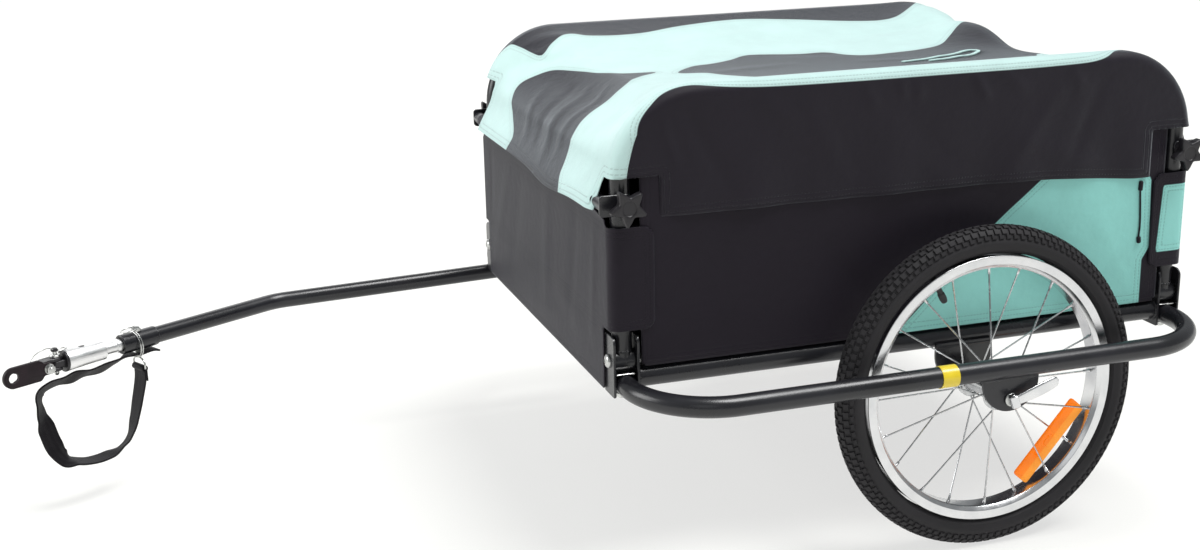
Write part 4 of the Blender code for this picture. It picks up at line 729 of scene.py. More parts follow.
core_x = np.where(t < FROM_97, np.where(outward > 0, FRONT_X - HOOP_BEND, REAR_X + HOOP_BEND),
                  FRONT_X - HOOP_BEND - (s - FROM_97))
core_z = HOOP_TOP - HOOP_BEND
flat = 1 - 0.7 * np.clip((np.abs(w) - 0.246) / 0.018, 0, 1) ** 2
flare = flat * FLARE * (1 - np.cos(np.pi * d / FLARE_LONG))
ridge = np.stack([core_x + outward * (RIDGE_R * np.sin(a) + d * np.cos(BEND_AT) + flare * np.sin(BEND_AT)),
                  0 * a, core_z + RIDGE_R * np.cos(a) - d * np.sin(BEND_AT) + flare * np.cos(BEND_AT)], -1)
lean = a - flat * FLARE * np.pi / FLARE_LONG * np.sin(np.pi * d / FLARE_LONG)
normal = np.stack([outward * np.sin(lean), 0 * a, np.cos(lean)], -1)
share = np.clip(np.abs(w) / (FLAT_HALF - 0.01), 0, 1)
sag = (COVER_SAG * np.cos(a) ** 2 + COVER_SLOPE * np.sin(2 * a) ** 2) * np.clip(1 - d / 0.05, 0, 1)
round_by = np.clip((np.abs(w) - FLAT_HALF) / COVER_EDGE, 0, np.pi / 2)
hump = sum(high * np.exp(-((w - at_w) / wide) ** 2 - ((s - at_s) / 0.055) ** 2)
           for high, at_w, wide, at_s in ((0.022, -0.075, 0.075, 0.745), (0.013, -0.195, 0.06, 0.76)))
inset = np.where(np.abs(w) < FLAT_HALF, sag * (1 - share ** 2) - hump, COVER_EDGE * (1 - np.cos(round_by)))
side = np.where(w < 0, -1, 1)
folds = crease(s, w, [
    (-10, 60, 130, -20, 10, 2.2), (0, 20, 120, -60, 9, -1.8), (5, 95, 150, 30, 8, 1.6),
    (0, -30, 90, -110, 9, 1.5), (60, 240, 190, 110, 14, -2.4), (70, 255, 240, 190, 12, 1.8),
    (60, -240, 190, -110, 14, -2.4), (80, -255, 250, -190, 12, 1.8), (100, -230, 150, -150, 8, 1.6),
    (830, 240, 700, 110, 14, -2.4), (820, 255, 650, 190, 12, 1.8), (830, -240, 700, -110, 14, -2.4),
    (820, -255, 640, -190, 12, 1.8), (880, 40, 760, -30, 10, 2.0), (885, -60, 790, -10, 9, -1.6),
    (250, 60, 420, 20, 16, 1.2), (380, -60, 560, -20, 18, -1.2), (470, 40, 640, 90, 14, 1.3),
    (300, -150, 480, -190, 14, 1.2), (560, -120, 720, -160, 14, -1.3), (500, 150, 640, 220, 12, -1.2),
    (200, 200, 330, 240, 10, 1.0)])
wave = 0.0016 * np.sin(2 * np.pi * s / 0.19 + 0.6) + 0.0011 * np.sin(2 * np.pi * s / 0.083 + 2.1)
drop_folds = crease(s, np.abs(w), [
    (150, 300, 230, 425, 9, -1.4), (690, 300, 640, 425, 9, -1.4), (300, 296, 360, 420, 12, 1.0),
    (560, 420, 640, 300, 10, 1.1), (420, 330, 520, 420, 14, -1.0), (120, 300, 150, 380, 7, 1.2),
    (372, 294, 392, 324, 7, 1.3), (420, 292, 424, 318, 5, 1.5), (440, 294, 446, 320, 6, 1.3),
    (512, 293, 536, 326, 5, 2.0), (548, 294, 590, 320, 7, 1.4), (640, 294, 664, 324, 8, 1.4),
    (552, 368, 724, 424, 13, 1.5), (240, 300, 300, 336, 9, 1.2)])
down = np.clip((np.abs(w) - DROP_FROM) / (HALF_WIDE - DROP_FROM), 0, 1)
points = ridge - (inset - np.where(np.abs(w) < FLAT_HALF, folds * (1 - share ** 8), 0))[..., None] * normal
points[..., 1] = side * np.where(np.abs(w) < FLAT_HALF, np.abs(w), FLAT_HALF + COVER_EDGE * np.sin(round_by))
edge_z = core_z + (RIDGE_R - COVER_EDGE) * np.cos(a) - d * np.sin(BEND_AT)
hem_z = HEM_Z + 0.0055 - 0.011 * np.exp(-((ridge[..., 0] - REAR_X - 0.045) / 0.1) ** 2)
hang = np.stack([core_x + outward * ((RIDGE_R - COVER_EDGE) * np.sin(a) + d * np.cos(BEND_AT)),
                 side * (COVER_Y + down ** 2 * wave + drop_folds),
                 edge_z + down * (hem_z - edge_z)], -1)
points = np.where((np.abs(w) > DROP_FROM)[..., None], hang, points)
pulled = (w < 0) & (outward > 0)
q = np.stack([np.where(outward > 0, points[..., 0] - FRONT_X, REAR_X - points[..., 0]) + 0.042,
              np.abs(points[..., 1]) - np.where(pulled, COVER_Y - 0.052, COVER_Y - 0.024),
              np.where(pulled, NOTCH_TOP + 0.028, NOTCH_TOP) - points[..., 2]])
keep = np.where(q.min(0) > 0, -q.min(0), np.linalg.norm(np.maximum(-q, 0), axis=0))
keep = np.minimum(keep, t + 0.0185 + 0.0075 * np.exp(-((w - 0.1) / 0.07) ** 2))
hem = np.minimum(keep, HALF_WIDE - np.abs(w))
black_panels = [
    [(-35, -66), (0, -82), (20, -118), (38, -148), (60, -164), (84, -156), (116, -134), (142, -76), (160, -26),
     (185, 2), (226, 10), (198, 34), (160, 76), (128, 80), (104, 80), (84, 86), (64, 100), (44, 116), (20, 126),
     (0, 134), (-35, 140)],
    [(248, 30), (282, -12), (314, -22), (346, -38), (384, -62), (450, -50), (490, -46), (518, -6), (580, -10),
     (612, -18), (652, -36), (686, -68), (724, -98), (790, -120), (930, -130), (930, 120), (800, 122),
     (718, 108), (690, 140), (650, 185), (600, 222), (530, 236), (440, 238), (370, 230), (325, 206), (304, 160),
     (294, 105), (276, 52)],
    [(40, 460), (48, 350), (66, 308), (86, 290), (116, 282), (148, 276), (212, 286), (294, 290), (494, 291),
     (620, 291), (684, 287), (716, 268), (750, 257), (800, 254), (860, 252), (930, 250), (930, 460)],
    [(30, -460), (36, -350), (52, -300), (70, -280), (104, -266), (112, -240), (122, -190), (150, -204),
     (186, -222), (212, -208), (282, -208), (350, -228), (438, -240), (516, -226), (598, -202), (660, -196),
     (706, -226), (738, -262), (760, -300), (800, -330), (818, -360), (822, -460)]]
marks = [to_outline(np.stack([s, w], -1), flowing(outline, 5)) for outline in black_panels]
inside = np.stack([mark[0] for mark in marks])
nearest = inside.argmax(0)
panel = -inside.max(0)
run = np.take_along_axis(np.stack([mark[1] for mark in marks]), nearest[None], 0)[0]
cover, area = cloth("stretched_cover", points, np.stack([s, w], -1), panel, run, hem, keep, painted_lit_cover_oxford,
                    "frame", "cover")
# Mint polyester tape: a soft matt tape, faintly clouded in tone
tape = clouded("mint polyester tape", (700.0, 3.0), ("#b4d8d3", "#cfe9e6"), roughness=0.55, specular_ior_level=0.2)
plan = flowing([(-8, 99), (-59, 82), (-106, 53), (-136, 31), (-148, 30), (-151, 40), (-138, 56), (-112, 81),
                (-88, 90), (-62, 103), (-20, 112)])[:-8] + (AXLE_X, 0)
top = points[np.abs(w) < FLAT_HALF]
heights = [top[np.hypot(*(top[:, :2] - spot).T).argmin(), 2] for spot in plan]
ribbon = swept(np.column_stack([plan, np.add(heights, 0.0014)]), slab(0.0024, 0.0009, 0.0004, 3))
loop = piece("cover_tape_loop", [ribbon], tape, "mint_cloth", "frame")
for flat_piece in (cover, loop):
    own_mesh(flat_piece)

# Tyres: 40-305 block tread tyre on an inner tube. Moulded black rubber: rows of rectangular blocks
# over the crown and shoulders, smooth walls with a bead ridge. Set on the rim at 3 degrees camber.
TYRE_R, SECTION, WALL = 0.1938, 0.0179, 0.003
CAMBER = np.radians(3)
TREAD, BLOCKS = 0.002, 120
# Tyre rubber: near black, quite matt, a dusty bloom of a few centimetres and a 1 mm skin texture
rubber = clouded("moulded tyre rubber", (22.0, 6.0, 0.7), ("#1b1a1c", "#2a282b"), (0.58, 0.8), (0.25, 0.0003),
                 ("TexNoise", 900.0, 2.0), ends=(0.3, 0.72), roughness=0.68, specular_ior_level=0.4)


def at_wheel(shapes, side):
    """Shapes about a wheel's centre, leant by the camber and moved to that wheel."""
    c, k = np.cos(CAMBER), side * np.sin(CAMBER)
    lean = np.array([(1, 0, 0), (0, c, -k), (0, k, c)])
    return [(points @ lean.T + (AXLE_X, side * WHEEL_Y, AXLE_Z), faces) for points, faces in shapes]


def tread():
    """Tyre round the wheel's axis: distance from the section's centre = carcass + height of the
    blocks, which is the product of a trapezoid round the wheel and one across the section."""
    part = np.array([0, 0.05, 0.12, 0.17, 0.335, 0.5, 0.55, 0.62, 0.67, 0.835])
    turns = (np.arange(BLOCKS)[:, None] + part).ravel()
    across = np.array([0, 8, 10, 12, 14, 22.5, 31, 33, 36, 38, 47.5, 57, 59, 61.5, 63.5, 70, 76, 79, 88, 98, 110, 119,
                       123, 127, 134, 142.0])
    across = np.concatenate([-across[:0:-1], across])
    rows = ((0, (0, 8, 10), (1, 1, 0)), (0.5, (12, 14, 31, 33), (0, 1, 1, 0)), (0, (36, 38, 57, 59), (0, 1, 1, 0)),
            (0.5, (61.5, 63.5, 76, 79), (0, 1, 1, 0)))
    height = np.zeros((len(turns), len(across)))
    for shift, knots, levels in rows:
        f = (turns + shift) % 1
        raised = np.clip(f / 0.05, 0, 1) * np.clip((0.67 - f) / 0.05, 0, 1)
        height += raised[:, None] * np.interp(np.abs(across), knots, levels)[None]
    carcass = SECTION - TREAD * np.interp(np.abs(across), (0, 79, 92, 142), (1, 1, 0, 0))
    carcass = carcass + 0.0006 * np.exp(-((np.abs(across) - 123) / 3) ** 2)
    inner = np.radians(np.linspace(138, -138, 8))
    reach = np.concatenate([carcass + TREAD * height, np.full((len(turns), 8), SECTION - WALL)], 1)
    phi = np.concatenate([np.radians(across), inner])
    radius = TYRE_R - SECTION + reach * np.cos(phi)
    a = (2 * np.pi * turns / BLOCKS)[:, None]
    return skin(np.stack([radius * np.cos(a), reach * np.sin(phi), radius * np.sin(a)], -1), around=True, along=True)


for name, side in SIDES:
    piece(f"block_tread_tyre_{name}", at_wheel([tread()], side), rubber, "tyre_rubber", f"wheel_{name}",
          f"tyre_{name}", sharp=28)

# Inner tubes: butyl tube inside the tyre with a threaded valve through the rim and a black cap.
TUBE_R, VALVE_AT, RIM_INNER = 0.0135, np.radians(63), 0.1445
# Butyl rubber: smoother than the tyre, with the talc that it was packed in as faint grey clouds
butyl = clouded("butyl rubber", (40.0, 5.0), ("#1a1a1b", "#38383a"), relief=(0.1, 0.0003), ends=(0.4, 0.75),
                roughness=0.5)
for name, side in SIDES:
    b = np.linspace(0, 2 * np.pi, 24, endpoint=False)
    section = np.stack([TYRE_R - SECTION + TUBE_R * np.cos(b), TUBE_R * np.sin(b)], -1)
    inward = -np.array((np.cos(VALVE_AT), 0, np.sin(VALVE_AT)))
    foot = -inward * (TYRE_R - SECTION - TUBE_R + 0.001)
    length = TYRE_R - SECTION - TUBE_R + 0.001 - (RIM_INNER - 0.022)
    steps = np.linspace(0.01, length - 0.01, 22)
    ridged = [(0.0033 + 0.00022 * (k % 2), at) for k, at in enumerate(steps)]
    cap = [(0, length - 0.011), (0.0042, length - 0.011), (0.0044, length - 0.004), (0.0036, length + 0.0004),
           (0.0028, length + 0.0012), (0, length + 0.0012)]
    shapes = [turned(section, steps=72, loop=True),
              turned([(0, 0), (0.0036, 0)] + ridged + [(0, length - 0.01)], foot, inward, 20),
              turned(cap, foot, inward, 20)]
    piece(f"inner_tube_and_valve_{name}", at_wheel(shapes, side), butyl, "inner_tube_rubber", f"wheel_{name}",
          f"inner_tube_{name}")

# Rims: extruded alloy box section rolled to a hoop, machined on the brake track and polished, with
# twenty brass nipples in its inner face.
SPOKES, FLANGE_AT, FLANGE, HOLE_R, SPLAY, SEAT_R = 20, 0.029, 0.003, 0.0172, 0.003, 0.1437
# Polished aluminium: bright and slightly soft, with turning lines round the hoop about 0.4 mm
# apart, drawn at 0.8 mm as streaks of noise stretched along the object's x axis
polished = clouded("polished aluminium", (45.0, 5.0), ("#d2d3d5", "#e6e6e7"), (0.14, 0.28), (0.06, 0.0002),
                   ("TexNoise", 1.0, 3.0), (60.0, 900.0, 900.0), metallic=1.0, roughness=0.2)
spoke_at = 2 * np.pi * np.arange(SPOKES) / SPOKES
flange = np.where(np.arange(SPOKES) % 2, 1, -1)
lean = np.where((np.arange(SPOKES) // 2) % 2, 1, -1)
hub_at = spoke_at + lean * 2 * np.pi * 1.5 / SPOKES
hub_ends = np.stack([HOLE_R * np.cos(hub_at), flange * (FLANGE_AT + lean * FLANGE / 2), HOLE_R * np.sin(hub_at)], -1)
rim_ends = np.stack([SEAT_R * np.cos(spoke_at), flange * SPLAY, SEAT_R * np.sin(spoke_at)], -1)
for name, side in SIDES:
    profile = filleted([(0.16, 0.0154), (0.1497, 0.0149), (0.1446, 0.0108), (0.1446, -0.0108), (0.1497, -0.0149),
                        (0.16, -0.0154), (0.16, -0.0132), (0.154, -0.0125), (0.154, 0.0125), (0.16, 0.0132)],
                       (0.0009, 0.0012, 0.003, 0.003, 0.0012, 0.0009, 0.0009, 0.001, 0.001, 0.0009), 4)
    shapes = [turned(profile, steps=144, loop=True)]
    for hub_end, rim_end in zip(hub_ends, rim_ends):
        shapes.append(turned([(0, -0.001), (0.0024, -0.001), (0.0022, 0.0005), (0.0017, 0.0012), (0.0016, 0.007),
                              (0.0012, 0.0074), (0, 0.0074)], rim_end, unit(hub_end - rim_end), 10))
    piece(f"box_section_rim_{name}", at_wheel(shapes, side), polished, "polished_alloy", f"wheel_{name}",
          f"rim_{name}")

# Hubs: turned steel shell with a flange at each end, laced with twenty 2 mm wire spokes that cross
# once. The spokes' heads sit in the flanges; the wire ends in the rim's nipples.
# Drawn stainless wire and turned steel: bright, faintly clouded in tone and roughness
drawn = clouded("drawn stainless wire", (220.0, 3.0), ("#b4b5b7", "#cfd0d1"), (0.18, 0.32), metallic=1.0,
                roughness=0.24)
for name, side in SIDES:
    half = [(0.0053, 0.0385), (0.009, 0.0385), (0.01, 0.0375), (0.0112, 0.031), (0.0198, 0.0306), (0.0205, 0.03),
            (0.0205, 0.0281), (0.0198, 0.0275), (0.014, 0.0268), (0.0118, 0.0235), (0.0108, 0.012)]
    shapes = [turned(half + [(r, -h) for r, h in half[::-1]], steps=48, loop=True)]
    for hub_end, rim_end, way in zip(hub_ends, rim_ends, lean * flange):
        shapes.append(swept([hub_end, rim_end], circle(0.001, 10), way * Y + 0.01 * X, 0.0002))
        shapes.append(turned([(r, 0.0008 + h) for r, h in domed(0.0019, 0.0014, 4)] + [(0, 0)], hub_end, way * Y, 10))
    piece(f"laced_hub_{name}", at_wheel(shapes, side), drawn, "spoke_steel", f"wheel_{name}",
          f"hub_and_spokes_{name}")

# Reflectors: amber acrylic plate with moulded prisms and a frame, clipped to two spokes.
REFLECTOR_R, REFLECTOR_AT = 0.119, np.radians(222.3)
# Amber acrylic: clear gloss over corner-cube prisms about 2.2 mm apart, drawn at their real size; each
# facet carries a painted glint, and a painted highlight makes the plate's outer half a lighter amber
# The emission is a painted orange glow: the reflector gives no light of its own.
acrylic, tree, shader = surface_of("amber acrylic", roughness=0.2, specular_ior_level=0.25, coat_weight=0.1,
                                   emission_color=(1.0, 0.26, 0.01, 1.0), emission_strength=0.3)
place = add(tree, "TexCoord", out="Object")
facets = add(tree, "TexVoronoi", {"Vector": place, "Scale": 450.0, "Randomness": 0.25})
band = add(tree, "Attribute", attribute_name="band", out="Fac")
# Darker amber on the plate's inner half, lighter on its outer half: a painted highlight.
painted_highlight_ambers = (0.0, "#ff7408"), (0.49, "#ff8210"), (0.52, "#ffa030"), (1.0, "#ffac40")
tone = add(tree, "ValToRGB", {0: band}, stops=[(at, hexa(code)) for at, code in painted_highlight_ambers])
# Each facet lighter at its middle and darker at its rim: painted glints.
painted_facet_glints = add(tree, "MapRange", {0: facets, 1: 0.0, 2: 0.6, 3: 1.18, 4: 0.9})
lit = add(tree, "VectorMath", {0: tone, 3: painted_facet_glints}, operation="SCALE")
grain = add(tree, "Bump", {"Height": facets, "Strength": 0.5, "Distance": 0.0008})
tree.links.new(lit, shader.inputs["Base Color"])
tree.links.new(grain, shader.inputs["Normal"])
for name, side in SIDES:
    along = np.array((np.sin(REFLECTOR_AT), 0, -np.cos(REFLECTOR_AT)))
    out = np.array((np.cos(REFLECTOR_AT), 0, np.sin(REFLECTOR_AT)))
    lens, boss = slab(0.0575, 0.0115, 0.0038), slab(0.0075, 0.006, 0.003, 5)
    at = REFLECTOR_R * out
    shapes = [plate(lens, 0.0036, at, along, out, 0.0007), plate(0.93 * lens, 0.0044, at, along, out, 0.0003),
              plate(boss, 0.0062, at, along, out, 0.0006)]
    for k in (12, 13):
        point = hub_ends[k] + (rim_ends[k] - hub_ends[k]) * (REFLECTOR_R - HOLE_R) / (RIM_INNER - HOLE_R)
        seat = point[1] - np.sign(point[1]) * 0.0016
        shapes.append(turned(rod(0.0018, 0, abs(seat)), (point[0], 0, point[2]), np.sign(seat) * Y, 12))
    made = piece(f"amber_reflector_{name}", at_wheel(shapes, side), acrylic, "orange_reflector", f"wheel_{name}",
                 f"reflector_{name}")
    # The band attribute runs from 0 at the plate's inner edge to 1 at its outer edge and places the painted highlight.
    place_of = np.empty(3 * len(made.data.vertices), np.float32)
    made.data.vertices.foreach_get("co", place_of)
    c, k = np.cos(CAMBER), side * np.sin(CAMBER)
    back = (place_of.reshape(-1, 3) - (AXLE_X, side * WHEEL_Y, AXLE_Z)) @ np.array([(1, 0, 0), (0, c, -k), (0, k, c)])
    across = (back - at) @ out
    made.data.attributes.new("band", "FLOAT", "POINT").data.foreach_set(
        "value", np.clip(0.5 + across / 0.023, 0, 1).astype(np.float32))

# Axles and quick releases: hollow steel axle with lock nuts between the axle plates, a skewer through
# it with a ribbed nut inside, and outside a polished cam lever that turns on the skewer's cup.
LOCKNUT, CUP_AT, BARREL_Y, LEVER_LONG, LEVER_TILT = 0.0493, 0.05525, 0.06355, 0.06, np.radians(18)
for name, side in SIDES:
    half = [(0.0027, LOCKNUT), (0.0072, LOCKNUT), (0.008, LOCKNUT - 0.0008), (0.008, 0.0445), (0.007, 0.044),
            (0.007, 0.0432), (0.008, 0.0427), (0.008, 0.0388), (0.005, 0.0388)]
    tube = turned(half + [(r, -h) for r, h in half[::-1]], steps=32, loop=True)
    piece(f"hollow_axle_{name}", at_wheel([tube], side), zinc, "zinc_steel", "frame", f"axle_{name}")
    a = 2 * np.pi * np.arange(72) / 72
    ribbed = 0.0074 + 0.0006 * np.cos(12 * a)
    rows = ((0, 0), (0.008, 0), (0.008, 0.002), (ribbed, 0.003), (ribbed, 0.0085), (0.8 * ribbed, 0.01), (0, 0.01))
    grid = np.stack([np.stack([r * np.cos(a), 0 * a - side * (CUP_AT + h), r * np.sin(a)], -1) for r, h in rows])
    shapes = [skin(grid, around=True),
              turned(rod(0.0024, -CUP_AT, CUP_AT), (0, 0, 0), side * Y, 20),
              turned([(0, CUP_AT), (0.0074, CUP_AT), (0.008, CUP_AT + 0.0006), (0.008, CUP_AT + 0.0021),
                      (0.0074, CUP_AT + 0.0025), (0, CUP_AT + 0.0025)], (0, 0, 0), side * Y, 32)]
    piece(f"axle_skewer_{name}", at_wheel(shapes, side), zinc, "zinc_steel", "frame", f"skewer_{name}")
    c, k = np.cos(LEVER_TILT), np.sin(LEVER_TILT)
    along, over = np.array((-c, 0, k)), np.array((k, 0, c))
    t, b = np.meshgrid(np.linspace(0, 1, 30), np.linspace(0, 2 * np.pi, 28, endpoint=False), indexing="ij")
    wide = 0.0052 + 0.0026 * np.sin(np.pi * np.clip(t * 0.75, 0, 1)) - 0.0012 * t
    close = np.sqrt(np.clip(1 - np.clip((t - 0.9) / 0.1, 0, 1) ** 2, 0, 1))
    thick = 0.002 - 0.0004 * t
    bow = 0.0018 * np.sin(np.pi * t)
    squared = np.abs(np.stack([np.cos(b), np.sin(b)])) ** 0.55 * np.sign([np.cos(b), np.sin(b)])
    arm = ((t * LEVER_LONG)[..., None] * along + (close * wide * squared[0])[..., None] * over
           + (side * (bow + close * thick * squared[1]))[..., None] * Y)
    ends = [np.repeat(arm[k].mean(0)[None, None], 28, 1) for k in (0, -1)]
    barrel = side * BARREL_Y * Y
    shapes = [skin(np.concatenate([ends[0], arm, ends[1]]) + barrel, around=True),
              swept([barrel - 0.0075 * over, barrel + 0.0075 * over], circle(0.0055, 28), Y, 0.0008),
              swept([barrel - 0.0082 * over, barrel + 0.0082 * over], circle(0.0022, 16), Y, 0.0003)]
    piece(f"cam_lever_{name}", at_wheel(shapes, side), polished, "polished_alloy", f"lever_{name}",
          f"quick_release_lever_{name}")

# Drawbar and its socket: 22 mm steel tube bent once towards the bicycle, with a collar on its open
# front end, in a welded sleeve on two gussets under the right rail. A pin goes through both.
BAR_Y, DRAWBAR_R, BEND_X, BEND_Z = -0.31, 0.011, AXLE_X + 0.7464, RAIL_Z - 0.04
DROOP, TURN = np.radians(1.76), np.radians(29.7)
COLLAR_FROM, TUBE_END, SLEEVE_FROM, SLEEVE_TO = 0.196, 0.247, AXLE_X + 0.262, AXLE_X + 0.385
FORWARD = np.array((np.cos(TURN), np.sin(TURN), 0))
LEFTWARD = np.array((-np.sin(TURN), np.cos(TURN), 0))
BEND = np.array((BEND_X, BAR_Y, BEND_Z))


def bar_point(x):
    """Point of the drawbar's straight leg at a length x: it climbs towards the rear by the droop."""
    return np.array((x, BAR_Y, BEND_Z + (BEND_X - x) * np.tan(DROOP)))


path = filleted([bar_point(AXLE_X + 0.266), BEND, BEND + TUBE_END * FORWARD], 0.06, 24, closed=False)
shapes = [swept(path, circle(DRAWBAR_R, 36), Z, 0.0006),
          swept([BEND + COLLAR_FROM * FORWARD, BEND + TUBE_END * FORWARD], circle(0.0128, 36), Z, 0.0007),
          bead(BEND + 0.1955 * FORWARD, FORWARD, DRAWBAR_R, 0.0013, 20)]
piece("bent_drawbar", shapes, powder, "frame_paint", "frame", "drawbar")
start, end = bar_point(SLEEVE_FROM), bar_point(SLEEVE_TO)
run, long = unit(end - start), np.linalg.norm(end - start)
shapes = [turned([(0.0113, 0.0006), (0.0118, 0), (0.013, 0), (0.0135, 0.0006), (0.0135, long - 0.0006), (0.013, long),
                  (0.0118, long), (0.0113, long - 0.0006)], start, run, 40, loop=True)]
for share in (0.22, 0.8):
    middle = start + share * (end - start)
    web = filleted([(-0.0185, 0.004), (0.0185, 0.017), (0.0185, -0.004), (-0.008, -0.017), (-0.0185, -0.012)],
                   0.002, 3)
    centre = (middle[0], (BAR_Y - RAIL_Y) / 2, (middle[2] + RAIL_Z) / 2 - 0.002)
    shapes.append(plate(web, 0.006, centre, Y, Z, 0.0005))
    shapes.append(bead(middle, run, 0.0132, 0.0018, 24))
piece("drawbar_sleeve", shapes, powder, "frame_paint", "frame", "drawbar_socket")
middle, top = (start + end) / 2, 0.0141
profile = [(0, top + 0.006), (0.0052, top + 0.006), (0.0068, top + 0.005), (0.0078, top + 0.003), (0.008, top),
           (0.003, top), (0.003, -top - 0.0032), (0.0022, -top - 0.004), (0, -top - 0.004)]
piece("drawbar_clevis_pin", [turned(profile, middle, Z, 32)], zinc, "zinc_steel", "drawbar_retaining_pin",
      "drawbar_pin")

# Hitch: aluminium coupler tube pinned in the drawbar's end, on it the swivelling aluminium cylinder
# with its black end cap and eye, then the fork on the ball lock pin, the bolt and the plate.
def along_hitch(profile, steps=40, loop=False):
    """Solid of revolution about the hitch's own line, with lengths from the drawbar's bend."""
    return turned(profile, BEND, FORWARD, steps, loop)


# Brushed aluminium: soft bright satin with hairlines along the tube
satin, tree, shader = surface_of("satin turned aluminium", metallic=1.0, roughness=0.3)
place = add(tree, "TexCoord", out="Object")
turned_to = add(tree, "Mapping", {"Vector": place, "Rotation": (0.0, 0.0, -float(TURN))})
stretch = add(tree, "Mapping", {"Vector": turned_to, "Scale": (40.0, 900.0, 900.0)})
lines = add(tree, "TexNoise", {"Vector": stretch, "Scale": 1.0, "Detail": 4.0})
tone = add(tree, "ValToRGB", {0: lines}, stops=((0.3, hexa("#e4e4e5")), (0.7, hexa("#f6f6f5"))))
dull = add(tree, "MapRange", {0: lines, 1: 0.3, 2: 0.7, 3: 0.34, 4: 0.5})
grain = add(tree, "Bump", {"Height": lines, "Strength": 0.12, "Distance": 0.0002})
tree.links.new(tone, shader.inputs["Base Color"])
tree.links.new(dull, shader.inputs["Roughness"])
tree.links.new(grain, shader.inputs["Normal"])
shapes = [along_hitch([(0, 0.1705), (0.0068, 0.1705), (0.0075, 0.1712), (0.0075, 0.3113), (0.0068, 0.312),
                       (0, 0.312)]),
          along_hitch([(0.0075, 0.2505), (0.0092, 0.2505), (0.0092, 0.2545), (0.0075, 0.2545)], loop=True)]
piece("coupler_inner_tube", shapes, satin, "polished_alloy", "frame", "coupler_tube")
body = along_hitch([(0.0078, 0.272), (0.0114, 0.272), (0.0124, 0.273), (0.0128, 0.3), (0.0138, 0.3245),
                    (0.0134, 0.3258), (0.0124, 0.3264), (0, 0.3264), (0, 0.3125), (0.0078, 0.3125)], steps=64)
piece("swivel_cylinder", [body], satin, "polished_alloy", "swivel", "coupler_cylinder")
cap = along_hitch([(0, 0.3262), (0.0134, 0.3262), (0.014, 0.3268), (0.014, 0.329), (0.0132, 0.3298), (0, 0.3298)])
tongue = np.concatenate([arc(0.008, -80, 80, 17) + (0.339, 0), [(0.3268, 0.008), (0.3268, -0.008)]])
eye = plate(tongue - (0.333, 0), 0.008, BEND + 0.333 * FORWARD, FORWARD, LEFTWARD, 0.0006)
piece("swivel_end_cap", [cap, eye], nylon, "black_plastic", "swivel", "swivel_eye")
button = [(0.0045 * np.cos(k), 0.0026 * np.sin(k)) for k in np.linspace(0, 2 * np.pi, 32, endpoint=False)]
piece("swivel_spring_button", [plate(button, 0.0012, BEND + 0.302 * FORWARD + 0.0126 * Z, FORWARD, LEFTWARD, 0.0004)],
      nylon, "black_plastic", "swivel")

# Fork: glass filled nylon moulding with two round ears over the swivel's eye and a solid web that
# the plate is bolted to. Below, the ball lock pin through the ears with its wire lanyard, and the bolt.
YAW_AT, BOLT_AT, EAR = 0.339, 0.355, 0.0045


def hitch_at(along, left=0.0, up=0.0):
    """Point of the hitch: its length on the hitch's line, then to the left and up from it."""
    return BEND + along * FORWARD + left * LEFTWARD + up * Z


def wire(points, radius, closed=False, per_span=6, steps=10):
    """Round wire on a smooth curve through points of the hitch, given in millimetres."""
    p = np.array([hitch_at(*np.asarray(q) / 1000) for q in points])
    if closed:
        path = flowing(p * 1000, per_span)
        tangent = np.roll(path, -1, 0) - np.roll(path, 1, 0)
    else:
        path = flowing(np.concatenate([p, p[-2:0:-1]]) * 1000, per_span)[:(len(p) - 1) * per_span + 1]
        tangent = np.gradient(path, axis=0)
    tangent = unit(tangent)
    across = unit(np.cross(tangent, (0.21, 0.34, 0.91)))
    ring = circle(radius, steps)
    grid = path[:, None] + ring[:, :1] * across[:, None] + ring[:, 1:] * np.cross(tangent, across)[:, None]
    if not closed:
        grid = np.concatenate([0 * grid[:1] + path[0], grid, 0 * grid[:1] + path[-1]])
    return skin(grid, around=True, along=closed)


ear = np.concatenate([arc(0.008, 90, 270, 21), [(0.006, -0.0074), (0.01, -0.007), (0.01, 0.007), (0.006, 0.0074)]])
shapes = [plate(ear, EAR, hitch_at(YAW_AT, 0, k * 0.00655), FORWARD, LEFTWARD, 0.0007) for k in (-1, 1)]
web = filleted([(-0.0068, -0.007), (0.0067, -0.007), (0.0067, 0.007), (-0.0068, 0.007)],
               (0.0006, 0.0035, 0.0035, 0.0006), 6)
shapes.append(plate(web, 0.0176, hitch_at(0.3544), FORWARD, LEFTWARD, 0.0008))
piece("swivel_fork", shapes, nylon, "black_plastic", "fork", "clevis")
pin = [(0, 0.0166), (0.0022, 0.0166), (0.003, 0.016),
       (0.003, 0.0122), (0.006, 0.012), (0.0065, 0.0114), (0.0065, 0.0096), (0.006, 0.0091), (0.0032, 0.0091),
       (0.0032, -0.0128), (0.0026, -0.0146), (0.0016, -0.0154), (0, -0.0156)]
shapes = [turned(pin, hitch_at(YAW_AT), Z, 32),
          wire([(339, 0, 17.5), (343, 3.4, 20.5), (347, 0.5, 22), (352, -1.8, 21), (360, -3.2, 18.5),
                (367, -4, 14), (371, -4.5, 8), (372, -4.6, 4)], 0.0006),
          wire([(339, 2.6, 15.2), (336, 5, 16.6), (329, 6, 17.2), (323, 2.5, 17), (324, -2.5, 16.6),
                (331, -4.6, 16), (337.5, -2.6, 15.2), (341, 0, 14.8)], 0.0007, closed=True)]
piece("ball_lock_pin_with_lanyard", shapes, zinc, "zinc_steel", "ball_lock_pin", "hitch_pin")
release = [(0, 0.0204), (0.0028, 0.0204), (0.0042, 0.0197), (0.0046, 0.0182), (0.0044, 0.0166),
           (0.0036, 0.0162), (0, 0.0162)]
